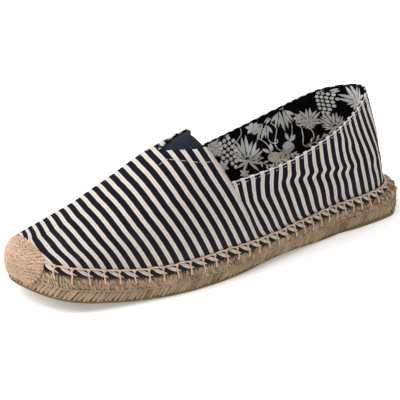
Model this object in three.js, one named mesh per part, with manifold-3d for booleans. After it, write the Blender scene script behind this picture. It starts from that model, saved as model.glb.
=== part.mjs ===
// A left espadrille: a striped canvas upper stitched to a plaited jute sole.
//
// Millimetres, +Z up. The toe points towards -Y, the heel towards +Y, and +X is the wearer's left, which is
// the outer side of a left shoe. The origin is on the floor, under the middle of the shoe's box.
// "along" is the distance from the foot of the canvas heel, "across" is X, and "height" is Z.
//
// The upper is one function: ribs climb from a ring round the sole's edge. The vamp's ribs meet on a spine
// over the instep, and the quarters' ribs end at the topline of the collar.

import * as THREE from 'three';
import { mergeVertices } from 'three/addons/utils/BufferGeometryUtils.js';
import Module from 'manifold-3d';

// ---- driving dimensions ----

const HEEL_BACK = -6.4;
const TOE_FRONT = 263;
const MIDDLE = (HEEL_BACK + TOE_FRONT) / 2;
const GAP = 0.3;
const CANVAS = 1.6;

const RUBBER = 2.2;
const TOE_SPRING = 11.5;
const SPRING_START = 176;
const WAIST_LIFT = 2.6;
const WAIST_FROM = 58;
const WAIST_TO = 152;

const SOLE_HEIGHT = 18.3;
const WAIST_DIP = 1.0;
const TOE_THICKENING = 2.8;
const THICKENING_FROM = 185;
const THICKENING_TO = 250;

const FEATHER_INSET = 3.0;
const SKIRT_DROP = 4.0;
const SKIRT_INSET = 0.9;
const HEEL_LEDGE = 5.0;
const LEDGE_TO = 30;
const SKIRT_RISE = 2.2;
const SHELF_RISE = 1.6;

const CAP_THICKNESS = 1.3;
const CAP_RELIEF_FROM = 236;
const CAP_RELIEF_TO = 256;
const CAP_EDGE = 252.8;
const CAP_EDGE_LOW = 257.5;
const CAP_EDGE_BEND = 32;
const CAP_ROWS = 3;

const INSOLE_THICKNESS = 2.0;
const INSOLE_INSET = 6.9;
const GUSSET_THICKNESS = 1.2;

// The sole's outline: how far it reaches to the outer and the inner side, at each distance from the heel.
const HEEL_CENTRE = { along: HEEL_BACK, across: -2 };
const TOE_TIP = { along: TOE_FRONT, across: -7 };
const OUTLINE = [
  { along: -3.2, lateral: 12.0, medial: -15.5 },
  { along: 5.5, lateral: 22.0, medial: -24.3 },
  { along: 20, lateral: 26.2, medial: -29.3 },
  { along: 48, lateral: 28.9, medial: -31.8 },
  { along: 80, lateral: 34.8, medial: -31.8 },
  { along: 119, lateral: 42.4, medial: -32.6 },
  { along: 145, lateral: 45.4, medial: -37.0 },
  { along: 170, lateral: 46.2, medial: -42.6 },
  { along: 195, lateral: 43.4, medial: -45.0 },
  { along: 220, lateral: 38.4, medial: -42.0 },
  { along: 240, lateral: 33.2, medial: -36.0 },
  { along: 251.5, lateral: 26.3, medial: -28.5 },
  { along: 259.5, lateral: 11.5, medial: -19.5 },
];
const SEAM_ROW = 6;

// The jute sole's side, from its bottom (rise 0) to the shelf under the upper's skirt (rise 1), and how far
// each level is set in from the outline. Above the shelf it steps in and narrows to its top.
const SOLE_SIDE = [
  { rise: 0, inset: 1.5 },
  { rise: 0.15, inset: 0.4 },
  { rise: 0.6, inset: 0 },
  { rise: 1, inset: 0.7 },
];
const HEEL_FLARE = 2.3;
const FLARE_RISE = { from: 0, to: 12 };
const FLARE_FALL = { from: 40, to: 54 };
const SHELF_DROP = 5.1;
const SHELF_INSET = 3.1;
const SOLE_TOP_DROP = 0.8;
const SOLE_TOP_INSET = 5.3;

// The vamp's spine, from the rear edge of its flaps to the toe. sideRise and crownReach are the lengths of a
// rib's two handles, as shares of its height and of its width.
const SPINE = [
  { along: 143.5, across: 4, height: 80.5, sideRise: 0.55, crownReach: 0.55 },
  { along: 165, across: 1.5, height: 72.2, sideRise: 0.55, crownReach: 0.55 },
  { along: 190, across: -1, height: 57.5, sideRise: 0.55, crownReach: 0.55 },
  { along: 215, across: -4, height: 44.3, sideRise: 0.55, crownReach: 0.55 },
  { along: 235, across: -6, height: 36.3, sideRise: 0.55, crownReach: 0.55 },
  { along: 250, across: -7, height: 34.9, sideRise: 0.6, crownReach: 0.6 },
];
const STAND_FROM = 0.5;
const FLAP_SKEW = { lateral: 0.5, medial: -12 };
const CORNER_SHARE = { lateral: 0.405, medial: 0.405 };

// The topline, from the heel forwards. lowLean and highLean say how far a rib's handles lean to its other
// end.
const HEEL_TOP = { along: 12.8, across: 0, height: 79.6, lowLean: 0, highLean: 0.5 };
const TOPLINE = [
  { along: 14.4, lateral: 6.0, medial: -6.5, height: 79.2, lowLean: 0, highLean: 0.5 },
  { along: 21, lateral: 13.4, medial: -14.2, height: 77.6, lowLean: 0.1, highLean: 0.4 },
  { along: 33.5, lateral: 21.5, medial: -22.5, height: 74.2, lowLean: 0.2, highLean: 0.3 },
  { along: 58, lateral: 29.4, medial: -28.5, height: 66.5, lowLean: 0.3, highLean: 0.1 },
  { along: 92, lateral: 32.2, medial: -31.0, height: 58.0, lowLean: 0.4, highLean: 0.1 },
];

// The V over the instep: its foot, and the tips of the flaps beside it.
const NOTCH_FOOT = { along: 163.6, across: 0 };
const LATERAL_TIP = { along: 142, across: 19.5 };
const MEDIAL_TIP = { along: 136, across: -10 };
const NOTCH_OVERRUN = 0.6;
const CUT_FROM = 45;
const CUT_TO = 100;
const GUSSET_MARGIN = 7;

const RING_STEPS = 3;
const VAMP_RISE_STEPS = 12;
const QUARTER_RISE_STEPS = 9;
const LAP = 0.12;
const LAP_STEP = 0.5;

// ---- small helpers ----

const wasm = await Module();
wasm.setup();

const { lerp, smoothstep, clamp } = THREE.MathUtils;

// A smooth value between b and c, t from 0 to 1, whose slopes come from the neighbours a and d.
function smoothBetween(a, b, c, d, t) {
  const slopeIn = (c - a) / 2;
  const slopeOut = (d - b) / 2;
  const cubic = 2 * b - 2 * c + slopeIn + slopeOut;
  const square = 3 * c - 3 * b - 2 * slopeIn - slopeOut;
  return ((cubic * t + square) * t + slopeIn) * t + b;
}

// Every column of a table at a fractional row number. A closed table wraps round, an open one holds its ends.
function rowAt(rows, number, closed) {
  const first = Math.floor(number);
  const count = rows.length;
  const pick = (i) => rows[closed ? ((i % count) + count) % count : clamp(i, 0, count - 1)];
  const near = [first - 1, first, first + 1, first + 2].map(pick);
  const row = {};
  for (const key of Object.keys(rows[0])) {
    const [a, b, c, d] = near.map((entry) => entry[key]);
    row[key] = smoothBetween(a, b, c, d, number - first);
  }
  return row;
}

// The fractional row number at which a table's along column, which rises, has a value.
function rowNumber(rows, along) {
  let low = 0;
  let high = rows.length - 1;
  for (let halving = 0; halving < 40; halving += 1) {
    const middle = (low + high) / 2;
    if (rowAt(rows, middle, false).along < along) low = middle;
    else high = middle;
  }
  return low;
}

function place(along, across, height) {
  return new THREE.Vector3(across, MIDDLE - along, height);
}

function bezierPoint(handles, t) {
  const s = 1 - t;
  return new THREE.Vector3()
    .addScaledVector(handles[0], s * s * s)
    .addScaledVector(handles[1], 3 * s * s * t)
    .addScaledVector(handles[2], 3 * s * t * t)
    .addScaledVector(handles[3], t * t * t);
}

// The handles of a Bezier curve's stretch from its start to share.
function bezierStart(handles, share) {
  const levels = [handles];
  while (levels.at(-1).length > 1) {
    const last = levels.at(-1);
    levels.push(last.slice(1).map((point, i) => last[i].clone().lerp(point, share)));
  }
  return levels.map((level) => level[0]);
}

// ---- the sole's edge and heights ----

// The outline as a closed ring of rows: heel, outer side, toe, inner side.
const RING = [
  HEEL_CENTRE,
  ...OUTLINE.map(({ along, lateral }) => ({ along, across: lateral })),
  TOE_TIP,
  ...OUTLINE.map(({ along, medial }) => ({ along, across: medial })).reverse(),
];
const TOE_ROW = OUTLINE.length + 1;

// The outline at a ring row, set in by inset. The toe is set in further, where the cap covers it.
function edge(ringRow, inset) {
  const step = 0.05;
  const here = rowAt(RING, ringRow, true);
  const before = rowAt(RING, ringRow - step, true);
  const after = rowAt(RING, ringRow + step, true);
  const direction = new THREE.Vector2(after.across - before.across, after.along - before.along).normalize();
  const depth = inset + CAP_THICKNESS * smoothstep(here.along, CAP_RELIEF_FROM, CAP_RELIEF_TO);
  return { along: here.along + direction.x * depth, across: here.across - direction.y * depth };
}

// How much of the heel's ledge there is: the jute reaches behind the canvas only round the heel.
function ledge(along) {
  return 1 - smoothstep(along, HEEL_BACK, LEDGE_TO);
}

// The outline where the canvas, or what lies inside it, stands: set in further by the heel's ledge.
function footEdge(ringRow, inset) {
  return edge(ringRow, inset + HEEL_LEDGE * ledge(rowAt(RING, ringRow, true).along));
}

function spring(along) {
  const reach = Math.max(0, along - SPRING_START) / (TOE_FRONT - SPRING_START);
  return TOE_SPRING * reach * reach;
}

function waist(along) {
  return Math.sin(Math.PI * clamp((along - WAIST_FROM) / (WAIST_TO - WAIST_FROM), 0, 1)) ** 2;
}

function underside(along) {
  return spring(along) + WAIST_LIFT * waist(along);
}

function soleTop(along) {
  const toe = TOE_THICKENING * smoothstep(along, THICKENING_FROM, THICKENING_TO);
  return SOLE_HEIGHT + spring(along) + toe - WAIST_DIP * waist(along);
}

function shelf(along) {
  return soleTop(along) - SHELF_DROP + SHELF_RISE * ledge(along);
}

// How far the two sides of the heel's foot stand out.
function flare(along) {
  const rise = smoothstep(along, FLARE_RISE.from, FLARE_RISE.to);
  const fall = smoothstep(along, FLARE_FALL.from, FLARE_FALL.to);
  return HEEL_FLARE * rise * (1 - fall);
}

// The outline, set in by inset, with a share of the heel's flare.
function flaredEdge(ringRow, inset, share) {
  const { along } = edge(ringRow, inset);
  return edge(ringRow, inset - flare(along) * share);
}

// A point on the jute sole's side, at a ring row and a level of the side's table.
function sidePoint(ringRow, { rise, inset }) {
  const { along, across } = flaredEdge(ringRow, inset, 1 - rise);
  return place(along, across, lerp(underside(along) + RUBBER + GAP, shelf(along), rise));
}

// ---- the upper's function ----

function foot(ringRow) {
  const { along, across } = footEdge(ringRow, FEATHER_INSET);
  return place(along, across, soleTop(along));
}

function skirtEdge(ringRow) {
  const { along, across } = footEdge(ringRow, SKIRT_INSET);
  return place(along, across, soleTop(along) - SKIRT_DROP + SKIRT_RISE * ledge(along));
}

// The ring row of a vamp rib: toeShare is 0 at the seam and 1 at the toe, side +1 is outer and -1 is inner.
function vampRing(side, toeShare) {
  return side > 0
    ? lerp(SEAM_ROW, TOE_ROW, toeShare)
    : lerp(RING.length - SEAM_ROW, TOE_ROW, toeShare);
}

// The spine's row for a share of the way to the toe, and how steeply it falls towards the toe there.
function spineAt(toeShare) {
  const feet = [1, -1].map((side) => edge(vampRing(side, toeShare), FEATHER_INSET).along);
  const mean = (feet[0] + feet[1]) / 2;
  const seam = OUTLINE[SEAM_ROW - 1].along;
  const toe = edge(TOE_ROW, FEATHER_INSET).along;
  const number = rowNumber(SPINE, lerp(SPINE[0].along, SPINE.at(-1).along, (mean - seam) / (toe - seam)));
  const behind = rowAt(SPINE, number - 0.1, false);
  const ahead = rowAt(SPINE, number + 0.1, false);
  const slope = (ahead.height - behind.height) / (ahead.along - behind.along);
  return { ...rowAt(SPINE, number, false), slope };
}

// A vamp rib leans evenly from its foot to the spine. Towards the toe it stands up and rounds over instead.
function vampRib(side, toeShare) {
  const start = foot(vampRing(side, toeShare));
  const spine = spineAt(toeShare);
  const end = place(spine.along, spine.across, spine.height);
  const lean = 1 - smoothstep(toeShare, STAND_FROM, 1);
  const skew = FLAP_SKEW[side > 0 ? 'lateral' : 'medial'] * (1 - smoothstep(toeShare, 0, STAND_FROM));
  const low = start.clone().setZ(lerp(start.z, end.z, spine.sideRise));
  low.y = lerp(start.y, end.y, spine.sideRise * lean);
  const high = end.clone();
  high.x = lerp(end.x, start.x, spine.crownReach);
  high.y = lerp(end.y, start.y, spine.crownReach * (1 - lean)) - skew;
  high.z = end.z + spine.slope * skew;
  return [start, low, high, end];
}

const LATERAL_CORNER = bezierStart(vampRib(1, 0), CORNER_SHARE.lateral);
const MEDIAL_CORNER = bezierStart(vampRib(-1, 0), CORNER_SHARE.medial);

function cornerRow(corner) {
  const top = corner[3];
  return { along: MIDDLE - top.y, across: top.x, height: top.z, lowLean: 0, highLean: 0 };
}

// The topline's rows from the inner corner round the heel to the outer corner.
const COLLAR = [
  cornerRow(MEDIAL_CORNER),
  ...TOPLINE.map(({ lateral, medial, ...row }) => ({ ...row, across: medial })).reverse(),
  HEEL_TOP,
  ...TOPLINE.map(({ lateral, medial, ...row }) => ({ ...row, across: lateral })),
  cornerRow(LATERAL_CORNER),
];

// A quarter's rib at a ring row from -SEAM_ROW, the inner seam, to SEAM_ROW, the outer seam.
function quarterRib(ringRow) {
  const start = foot(ringRow);
  const top = rowAt(COLLAR, ringRow + SEAM_ROW, false);
  const end = place(top.along, top.across, top.height);
  const third = (end.z - start.z) / 3;
  const low = start.clone().lerp(end, top.lowLean).setZ(start.z + third);
  const high = end.clone().lerp(start, top.highLean).setZ(end.z - third);
  const corner = ringRow > 0 ? LATERAL_CORNER : MEDIAL_CORNER;
  const seamShare = smoothstep(Math.abs(ringRow), SEAM_ROW - 1, SEAM_ROW);
  low.lerp(corner[1].clone().sub(corner[0]).add(start), seamShare);
  high.lerp(corner[2].clone().sub(corner[3]).add(end), seamShare);
  return [start, low, high, end];
}

// A column of points up a rib: the skirt's edge, then the rib from the sole's edge to its end.
function column(ringRow, handles, steps) {
  const points = [skirtEdge(ringRow)];
  for (let step = 0; step <= steps; step += 1) points.push(bezierPoint(handles, step / steps));
  return points;
}

// ---- walls and solids ----

// The outward direction at each point of a grid of columns. On a grid that closes on its spine, a column's
// last point is shared with the column across the spine.
function gridNormals(grid, onSpine) {
  const last = grid.length - 1;
  const top = grid[0].length - 1;
  return grid.map((points, i) => points.map((point, j) => {
    const acrossSpine = onSpine && j === top;
    const atPole = acrossSpine && i === last / 2;
    const level = atPole ? j - 1 : j;
    const round = grid[Math.min(i + 1, last)][level].clone().sub(grid[Math.max(i - 1, 0)][level]);
    const above = acrossSpine && !atPole ? grid[last - i][j - 1] : points[Math.min(j + 1, top)];
    const up = above.clone().sub(points[Math.max(j - 1, 0)]);
    return up.cross(round).normalize();
  }));
}

function shiftGrid(grid, normals, distance) {
  return grid.map((points, i) => points.map((point, j) => {
    const normal = normals[i][j];
    return point.clone().addScaledVector(normal, distance);
  }));
}

// A closed solid between two grids with the same columns, the first on the outside.
function wall(outer, inner, onSpine) {
  const last = outer.length - 1;
  const top = outer[0].length - 1;
  const corners = [];
  const quad = (a, b, c, d) => corners.push(a, b, c, a, c, d);
  for (let i = 0; i < last; i += 1) {
    for (let j = 0; j < top; j += 1) {
      quad(outer[i][j], outer[i][j + 1], outer[i + 1][j + 1], outer[i + 1][j]);
      quad(inner[i][j], inner[i + 1][j], inner[i + 1][j + 1], inner[i][j + 1]);
    }
    quad(outer[i][0], outer[i + 1][0], inner[i + 1][0], inner[i][0]);
    if (!onSpine) quad(outer[i][top], inner[i][top], inner[i + 1][top], outer[i + 1][top]);
  }
  for (let j = 0; j < top; j += 1) {
    quad(outer[0][j], inner[0][j], inner[0][j + 1], outer[0][j + 1]);
    quad(outer[last][j], outer[last][j + 1], inner[last][j + 1], inner[last][j]);
  }
  return new THREE.BufferGeometry().setFromPoints(corners);
}

function toSolid(geometry) {
  const bare = geometry.clone();
  bare.deleteAttribute('normal');
  bare.deleteAttribute('uv');
  const merged = mergeVertices(bare, 1e-4);
  const numbers = merged.index.array;
  const kept = [];
  for (let i = 0; i < numbers.length; i += 3) {
    const [a, b, c] = [numbers[i], numbers[i + 1], numbers[i + 2]];
    if (a !== b && b !== c && c !== a) kept.push(a, b, c);
  }
  const mesh = new wasm.Mesh({
    numProp: 3,
    vertProperties: new Float32Array(merged.attributes.position.array),
    triVerts: new Uint32Array(kept),
  });
  return new wasm.Manifold(mesh);
}

function toGeometry(manifold) {
  const mesh = manifold.getMesh();
  const geometry = new THREE.BufferGeometry();
  geometry.setAttribute('position', new THREE.BufferAttribute(mesh.vertProperties, 3));
  geometry.setIndex(new THREE.BufferAttribute(mesh.triVerts, 1));
  geometry.computeVertexNormals();
  return geometry;
}

// A closed solid from rings of points stacked bottom to top. Its two ends are ladders across the shoe.
function stack(rings) {
  const count = rings[0].length;
  const corners = [];
  const quad = (a, b, c, d) => corners.push(a, b, c, a, c, d);
  for (let level = 0; level + 1 < rings.length; level += 1) {
    const [low, high] = [rings[level], rings[level + 1]];
    for (let i = 0; i < count; i += 1) {
      const next = (i + 1) % count;
      quad(low[i], high[i], high[next], low[next]);
    }
  }
  const [bottom, top] = [rings[0], rings.at(-1)];
  for (let i = 0; i < count / 2; i += 1) {
    const [mirror, mirrorNext] = [(count - i) % count, count - i - 1];
    quad(bottom[i], bottom[i + 1], bottom[mirrorNext], bottom[mirror]);
    quad(top[i], top[mirror], top[mirrorNext], top[i + 1]);
  }
  return new THREE.BufferGeometry().setFromPoints(corners);
}

// A ring of points round the sole at the height that heightAt gives. edgeAt is edge or footEdge.
function ringOf(edgeAt, inset, heightAt) {
  const count = RING.length * RING_STEPS;
  return Array.from({ length: count }, (_, i) => {
    const { along, across } = edgeAt(i / RING_STEPS, inset);
    return place(along, across, heightAt(along));
  });
}

// An upright prism over a plan outline of along and across points.
function prism(plan, bottom, top) {
  const shape = new THREE.Shape(plan.map(({ along, across }) => new THREE.Vector2(across, MIDDLE - along)));
  const geometry = new THREE.ExtrudeGeometry(shape, { depth: top - bottom, bevelEnabled: false });
  return geometry.translate(0, 0, bottom);
}

// ---- the pieces ----

function makeOutsole() {
  const { inset } = SOLE_SIDE[0];
  const top = (along) => underside(along) + RUBBER;
  const outline = (ringRow, setIn) => flaredEdge(ringRow, setIn, 1);
  return stack([ringOf(outline, inset, underside), ringOf(outline, inset, top)]);
}

function makeJuteSole() {
  const count = RING.length * RING_STEPS;
  const ring = (level) => Array.from({ length: count }, (_, i) => sidePoint(i / RING_STEPS, level));
  const side = SOLE_SIDE.map(ring);
  const top = (along) => soleTop(along) - SOLE_TOP_DROP;
  return stack([...side, ringOf(footEdge, SHELF_INSET, shelf), ringOf(footEdge, SOLE_TOP_INSET, top)]);
}

function makeInsole() {
  const floor = (along) => soleTop(along) - SOLE_TOP_DROP + GAP;
  const top = (along) => floor(along) + INSOLE_THICKNESS;
  return stack([ringOf(footEdge, INSOLE_INSET, floor), ringOf(footEdge, INSOLE_INSET, top)]);
}

function vampGrid() {
  const steps = (TOE_ROW - SEAM_ROW) * RING_STEPS;
  const grid = [];
  for (let i = 0; i <= 2 * steps; i += 1) {
    const side = i <= steps ? 1 : -1;
    const toeShare = 1 - Math.abs(i - steps) / steps;
    grid.push(column(vampRing(side, toeShare), vampRib(side, toeShare), VAMP_RISE_STEPS));
  }
  return grid;
}

// The quarters run from seam to seam round the heel, and a short lap at each end lies under the vamp.
function quarterGrid() {
  const steps = SEAM_ROW * RING_STEPS;
  const grid = [];
  const lap = (side, share) => {
    const toeShare = LAP / (TOE_ROW - SEAM_ROW);
    const handles = bezierStart(vampRib(side, toeShare), share);
    return column(vampRing(side, toeShare), handles, QUARTER_RISE_STEPS);
  };
  grid.push(lap(-1, CORNER_SHARE.medial));
  for (let i = -steps; i <= steps; i += 1) {
    const ringRow = i / RING_STEPS;
    grid.push(column(ringRow, quarterRib(ringRow), QUARTER_RISE_STEPS));
  }
  grid.push(lap(1, CORNER_SHARE.lateral));
  return grid;
}

function makeUpper() {
  const vamp = vampGrid();
  const vampNormals = gridNormals(vamp, true);
  const vampWall = toSolid(wall(vamp, shiftGrid(vamp, vampNormals, -CANVAS), true));
  const quarters = quarterGrid();
  const quarterNormals = gridNormals(quarters, false);
  const quarterOuter = shiftGrid(quarters, quarterNormals, -LAP_STEP);
  const quarterInner = shiftGrid(quarters, quarterNormals, -LAP_STEP - CANVAS);
  const quarterWall = toSolid(wall(quarterOuter, quarterInner, false));
  const beyond = (tip) => ({
    along: tip.along - (NOTCH_FOOT.along - tip.along) * NOTCH_OVERRUN,
    across: tip.across + (tip.across - NOTCH_FOOT.across) * NOTCH_OVERRUN,
  });
  const notch = toSolid(prism([NOTCH_FOOT, beyond(LATERAL_TIP), beyond(MEDIAL_TIP)], CUT_FROM, CUT_TO));
  return toGeometry(vampWall.subtract(notch).add(quarterWall));
}

function makeGusset() {
  const vamp = vampGrid();
  const normals = gridNormals(vamp, true);
  const outer = shiftGrid(vamp, normals, -CANVAS - GAP);
  const inner = shiftGrid(vamp, normals, -CANVAS - GAP - GUSSET_THICKNESS);
  const plan = [
    { along: NOTCH_FOOT.along + GUSSET_MARGIN, across: NOTCH_FOOT.across },
    { along: LATERAL_TIP.along + 1, across: LATERAL_TIP.across + GUSSET_MARGIN },
    LATERAL_TIP,
    MEDIAL_TIP,
    { along: MEDIAL_TIP.along + 1, across: MEDIAL_TIP.across - GUSSET_MARGIN },
  ];
  const block = toSolid(prism(plan, CUT_FROM, CUT_TO));
  return toGeometry(toSolid(wall(outer, inner, true)).intersect(block));
}

// The toe's form grown by a distance: up the sole's side, over the skirt and up the vamp to its spine.
function capGrid(distance) {
  const steps = CAP_ROWS * RING_STEPS;
  const grid = [];
  for (let i = 0; i <= 2 * steps; i += 1) {
    const side = i <= steps ? 1 : -1;
    const toeShare = 1 - Math.abs(i - steps) / RING_STEPS / (TOE_ROW - SEAM_ROW);
    const ringRow = vampRing(side, toeShare);
    const low = SOLE_SIDE.slice(1).map((level) => sidePoint(ringRow, level));
    grid.push([...low, ...column(ringRow, vampRib(side, toeShare), VAMP_RISE_STEPS)]);
  }
  return shiftGrid(grid, gridNormals(grid, true), distance);
}

// The toe cap lies between two such forms, cut off behind by a curve seen from the side.
function makeToeCap() {
  const shell = toSolid(wall(capGrid(GAP + CAP_THICKNESS), capGrid(GAP), true));
  const reach = OUTLINE[SEAM_ROW].lateral * 2;
  const front = TOE_FRONT + reach;
  const profile = new THREE.Shape();
  profile.moveTo(MIDDLE - CAP_EDGE_LOW, 0);
  profile.quadraticCurveTo(MIDDLE - CAP_EDGE_LOW, SOLE_HEIGHT, MIDDLE - CAP_EDGE, CAP_EDGE_BEND);
  profile.lineTo(MIDDLE - CAP_EDGE, CUT_TO);
  profile.lineTo(MIDDLE - front, CUT_TO);
  profile.lineTo(MIDDLE - front, 0);
  const block = new THREE.ExtrudeGeometry(profile, { depth: 2 * reach, bevelEnabled: false });
  const across = new THREE.Vector3(1, 0, 0);
  const along = new THREE.Vector3(0, 1, 0);
  const up = new THREE.Vector3(0, 0, 1);
  block.applyMatrix4(new THREE.Matrix4().makeBasis(along, up, across)).translate(-reach, 0, 0);
  return toGeometry(shell.intersect(toSolid(block)));
}

const espadrille = new THREE.Group();

function addPiece(name, geometry, colour, roughness) {
  const material = new THREE.MeshStandardMaterial({ color: colour, roughness, metalness: 0 });
  const mesh = new THREE.Mesh(geometry, material);
  mesh.name = name;
  espadrille.add(mesh);
}

addPiece('outsole', makeOutsole(), 0x6f5a38, 0.8);
addPiece('jute_sole', makeJuteSole(), 0xb39a78, 0.95);
addPiece('insole', makeInsole(), 0xc8b490, 0.9);
addPiece('upper', makeUpper(), 0x2b3147, 0.9);
addPiece('elastic_gusset', makeGusset(), 0x323f4d, 0.85);
addPiece('toe_cap', makeToeCap(), 0xe0b88f, 0.95);

export default espadrille;
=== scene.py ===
"""A left espadrille's looks: canvas, lining, elastic, jute, yarn and rubber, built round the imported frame.

Lengths are millimetres in the shoe's own frame, and become metres where a mesh is made. "along" is the
distance from the foot of the canvas heel towards the toe, "across" is X, towards the outer side of the foot,
and "height" is Z. The toe points towards -Y.
"""

from __future__ import annotations

import logging
import math
import random
from contextlib import contextmanager
from dataclasses import dataclass
from enum import Enum
from functools import cached_property
from typing import Callable, Iterator, NamedTuple, Sequence

import bpy
import numpy as np
from mathutils import Matrix, Vector


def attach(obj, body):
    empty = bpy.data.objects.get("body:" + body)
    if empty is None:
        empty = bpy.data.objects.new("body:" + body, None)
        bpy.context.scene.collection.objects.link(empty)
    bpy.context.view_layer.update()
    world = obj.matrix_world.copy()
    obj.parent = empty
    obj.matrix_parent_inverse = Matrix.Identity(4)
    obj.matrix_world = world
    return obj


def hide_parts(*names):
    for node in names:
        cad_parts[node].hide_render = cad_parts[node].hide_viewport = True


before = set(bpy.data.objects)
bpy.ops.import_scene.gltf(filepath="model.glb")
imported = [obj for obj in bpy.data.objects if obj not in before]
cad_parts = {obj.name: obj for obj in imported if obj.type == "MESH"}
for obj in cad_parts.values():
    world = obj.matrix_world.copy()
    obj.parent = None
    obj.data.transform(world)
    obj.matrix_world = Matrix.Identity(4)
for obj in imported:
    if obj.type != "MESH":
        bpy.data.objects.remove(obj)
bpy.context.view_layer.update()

LOG = logging.getLogger("espadrille")
MM = 0.001
BODY = "root"
CLOTH_UV = "cloth"
TINT = "tint"
PLY_SHARE = 0.6

Array = np.ndarray
Level = Callable[[float], Array]
Colour = tuple[float, float, float]


# ---- small helpers ----


def smooth_between(a: Array, b: Array, c: Array, d: Array, t: float) -> Array:
    """Runs smoothly from b to c, with slopes from the neighbours a and d.

    Args:
        a: The value before b.
        b: The value at t = 0.
        c: The value at t = 1.
        d: The value after c.
        t: How far from b to c.

    Returns:
        The value at t.
    """
    slope_in = (c - a) / 2
    slope_out = (d - b) / 2
    cubic = 2 * b - 2 * c + slope_in + slope_out
    square = 3 * c - 3 * b - 2 * slope_in - slope_out
    return ((cubic * t + square) * t + slope_in) * t + b


def row_at(rows: Array, number: float, closed: bool) -> Array:
    """Reads every column of a table at a fractional row number.

    Args:
        rows: The table.
        number: The fractional row number.
        closed: True where the table wraps round, False where it holds its ends.

    Returns:
        The columns' values there.
    """
    first = math.floor(number)
    count = len(rows)
    picks = [first + step for step in (-1, 0, 1, 2)]
    picks = [pick % count if closed else min(max(pick, 0), count - 1) for pick in picks]
    return smooth_between(*rows[picks], number - first)


def smoothstep(value: float, low: float, high: float) -> float:
    """Rises smoothly from 0 at low to 1 at high."""
    t = min(max((value - low) / (high - low), 0.0), 1.0)
    return t * t * (3 - 2 * t)


def lerp(a: float, b: float, t: float) -> float:
    """Runs straight from a to b as t runs from 0 to 1."""
    return a + (b - a) * t


def unit(vectors: Array) -> Array:
    """Scales vectors, in the last axis, to length 1."""
    return vectors / np.maximum(np.linalg.norm(vectors, axis=-1, keepdims=True), 1e-9)


def bezier(handles: Array, shares: Array) -> Array:
    """Finds points on a cubic Bezier curve.

    Args:
        handles: Its four handles.
        shares: How far along it each point is, from 0 to 1.

    Returns:
        The points, one row each.
    """
    t = np.asarray(shares, float)[:, None]
    s = 1 - t
    return s**3 * handles[0] + 3 * s * s * t * handles[1] + 3 * s * t * t * handles[2] + t**3 * handles[3]


def bezier_start(handles: Array, share: float) -> Array:
    """Gives the handles of a Bezier curve's stretch from its start to share."""
    levels = [np.array(handles)]
    while len(levels[-1]) > 1:
        levels.append(levels[-1][:-1] * (1 - share) + levels[-1][1:] * share)
    return np.array([level[0] for level in levels])


def run_lengths(path: Array) -> Array:
    """Gives the distance along a path to each of its points."""
    return np.concatenate([[0], np.cumsum(np.linalg.norm(np.diff(path, axis=0), axis=1))])


def at_lengths(path: Array, lengths: Array, stations: Array | float) -> Array:
    """Finds a path's points at stations; lengths says how far along its own points are."""
    return np.stack([np.interp(stations, lengths, path[:, axis]) for axis in range(3)], axis=-1)


def climbs(points: Array) -> Array:
    """Gives the distance up its column to each point of a sheet."""
    steps = np.linalg.norm(np.diff(points, axis=1), axis=-1).cumsum(axis=1)
    return np.concatenate([np.zeros((len(points), 1)), steps], axis=1)


def spun(degrees: float) -> Array:
    """Gives the matrix that turns points clockwise."""
    angle = math.radians(degrees)
    return np.array([[math.cos(angle), math.sin(angle)], [-math.sin(angle), math.cos(angle)]])


# ---- the shoe's form ----


class OutlineRow(NamedTuple):
    """How far the sole reaches to each side, at a distance from the heel."""

    along: float
    lateral: float
    medial: float


class SpineRow(NamedTuple):
    """A point on the ridge of the vamp, and the shares of its ribs' two handles."""

    along: float
    across: float
    height: float
    side_rise: float
    crown_reach: float


class ToplineRow(NamedTuple):
    """A point on each side of the collar, and how far a rib's handles lean to its other end."""

    along: float
    lateral: float
    medial: float
    height: float
    low_lean: float
    high_lean: float


class SideLevel(NamedTuple):
    """A level of the jute's side: its share of the height, and how far it is set in."""

    rise: float
    inset: float


OUTLINE = (
    OutlineRow(-3.2, 12.0, -15.5),
    OutlineRow(5.5, 22.0, -24.3),
    OutlineRow(20, 26.2, -29.3),
    OutlineRow(48, 28.9, -31.8),
    OutlineRow(80, 34.8, -31.8),
    OutlineRow(119, 42.4, -32.6),
    OutlineRow(145, 45.4, -37.0),
    OutlineRow(170, 46.2, -42.6),
    OutlineRow(195, 43.4, -45.0),
    OutlineRow(220, 38.4, -42.0),
    OutlineRow(240, 33.2, -36.0),
    OutlineRow(251.5, 26.3, -28.5),
    OutlineRow(259.5, 11.5, -19.5),
)
SPINE = (
    SpineRow(143.5, 4, 80.5, 0.55, 0.55),
    SpineRow(165, 1.5, 72.2, 0.55, 0.55),
    SpineRow(190, -1, 57.5, 0.55, 0.55),
    SpineRow(215, -4, 44.3, 0.55, 0.55),
    SpineRow(235, -6, 36.3, 0.55, 0.55),
    SpineRow(250, -7, 34.9, 0.6, 0.6),
)
TOPLINE = (
    ToplineRow(14.4, 6.0, -6.5, 79.2, 0, 0.5),
    ToplineRow(21, 13.4, -14.2, 77.6, 0.1, 0.4),
    ToplineRow(33.5, 21.5, -22.5, 74.2, 0.2, 0.3),
    ToplineRow(58, 29.4, -28.5, 66.5, 0.3, 0.1),
    ToplineRow(92, 32.2, -31.0, 58.0, 0.4, 0.1),
)
HEEL_TOP = ToplineRow(12.8, 0, 0, 79.6, 0, 0.5)
SOLE_SIDE = (SideLevel(0, 1.5), SideLevel(0.15, 0.4), SideLevel(0.6, 0), SideLevel(1, 0.7))
LATERAL = 1
MEDIAL = -1


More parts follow.
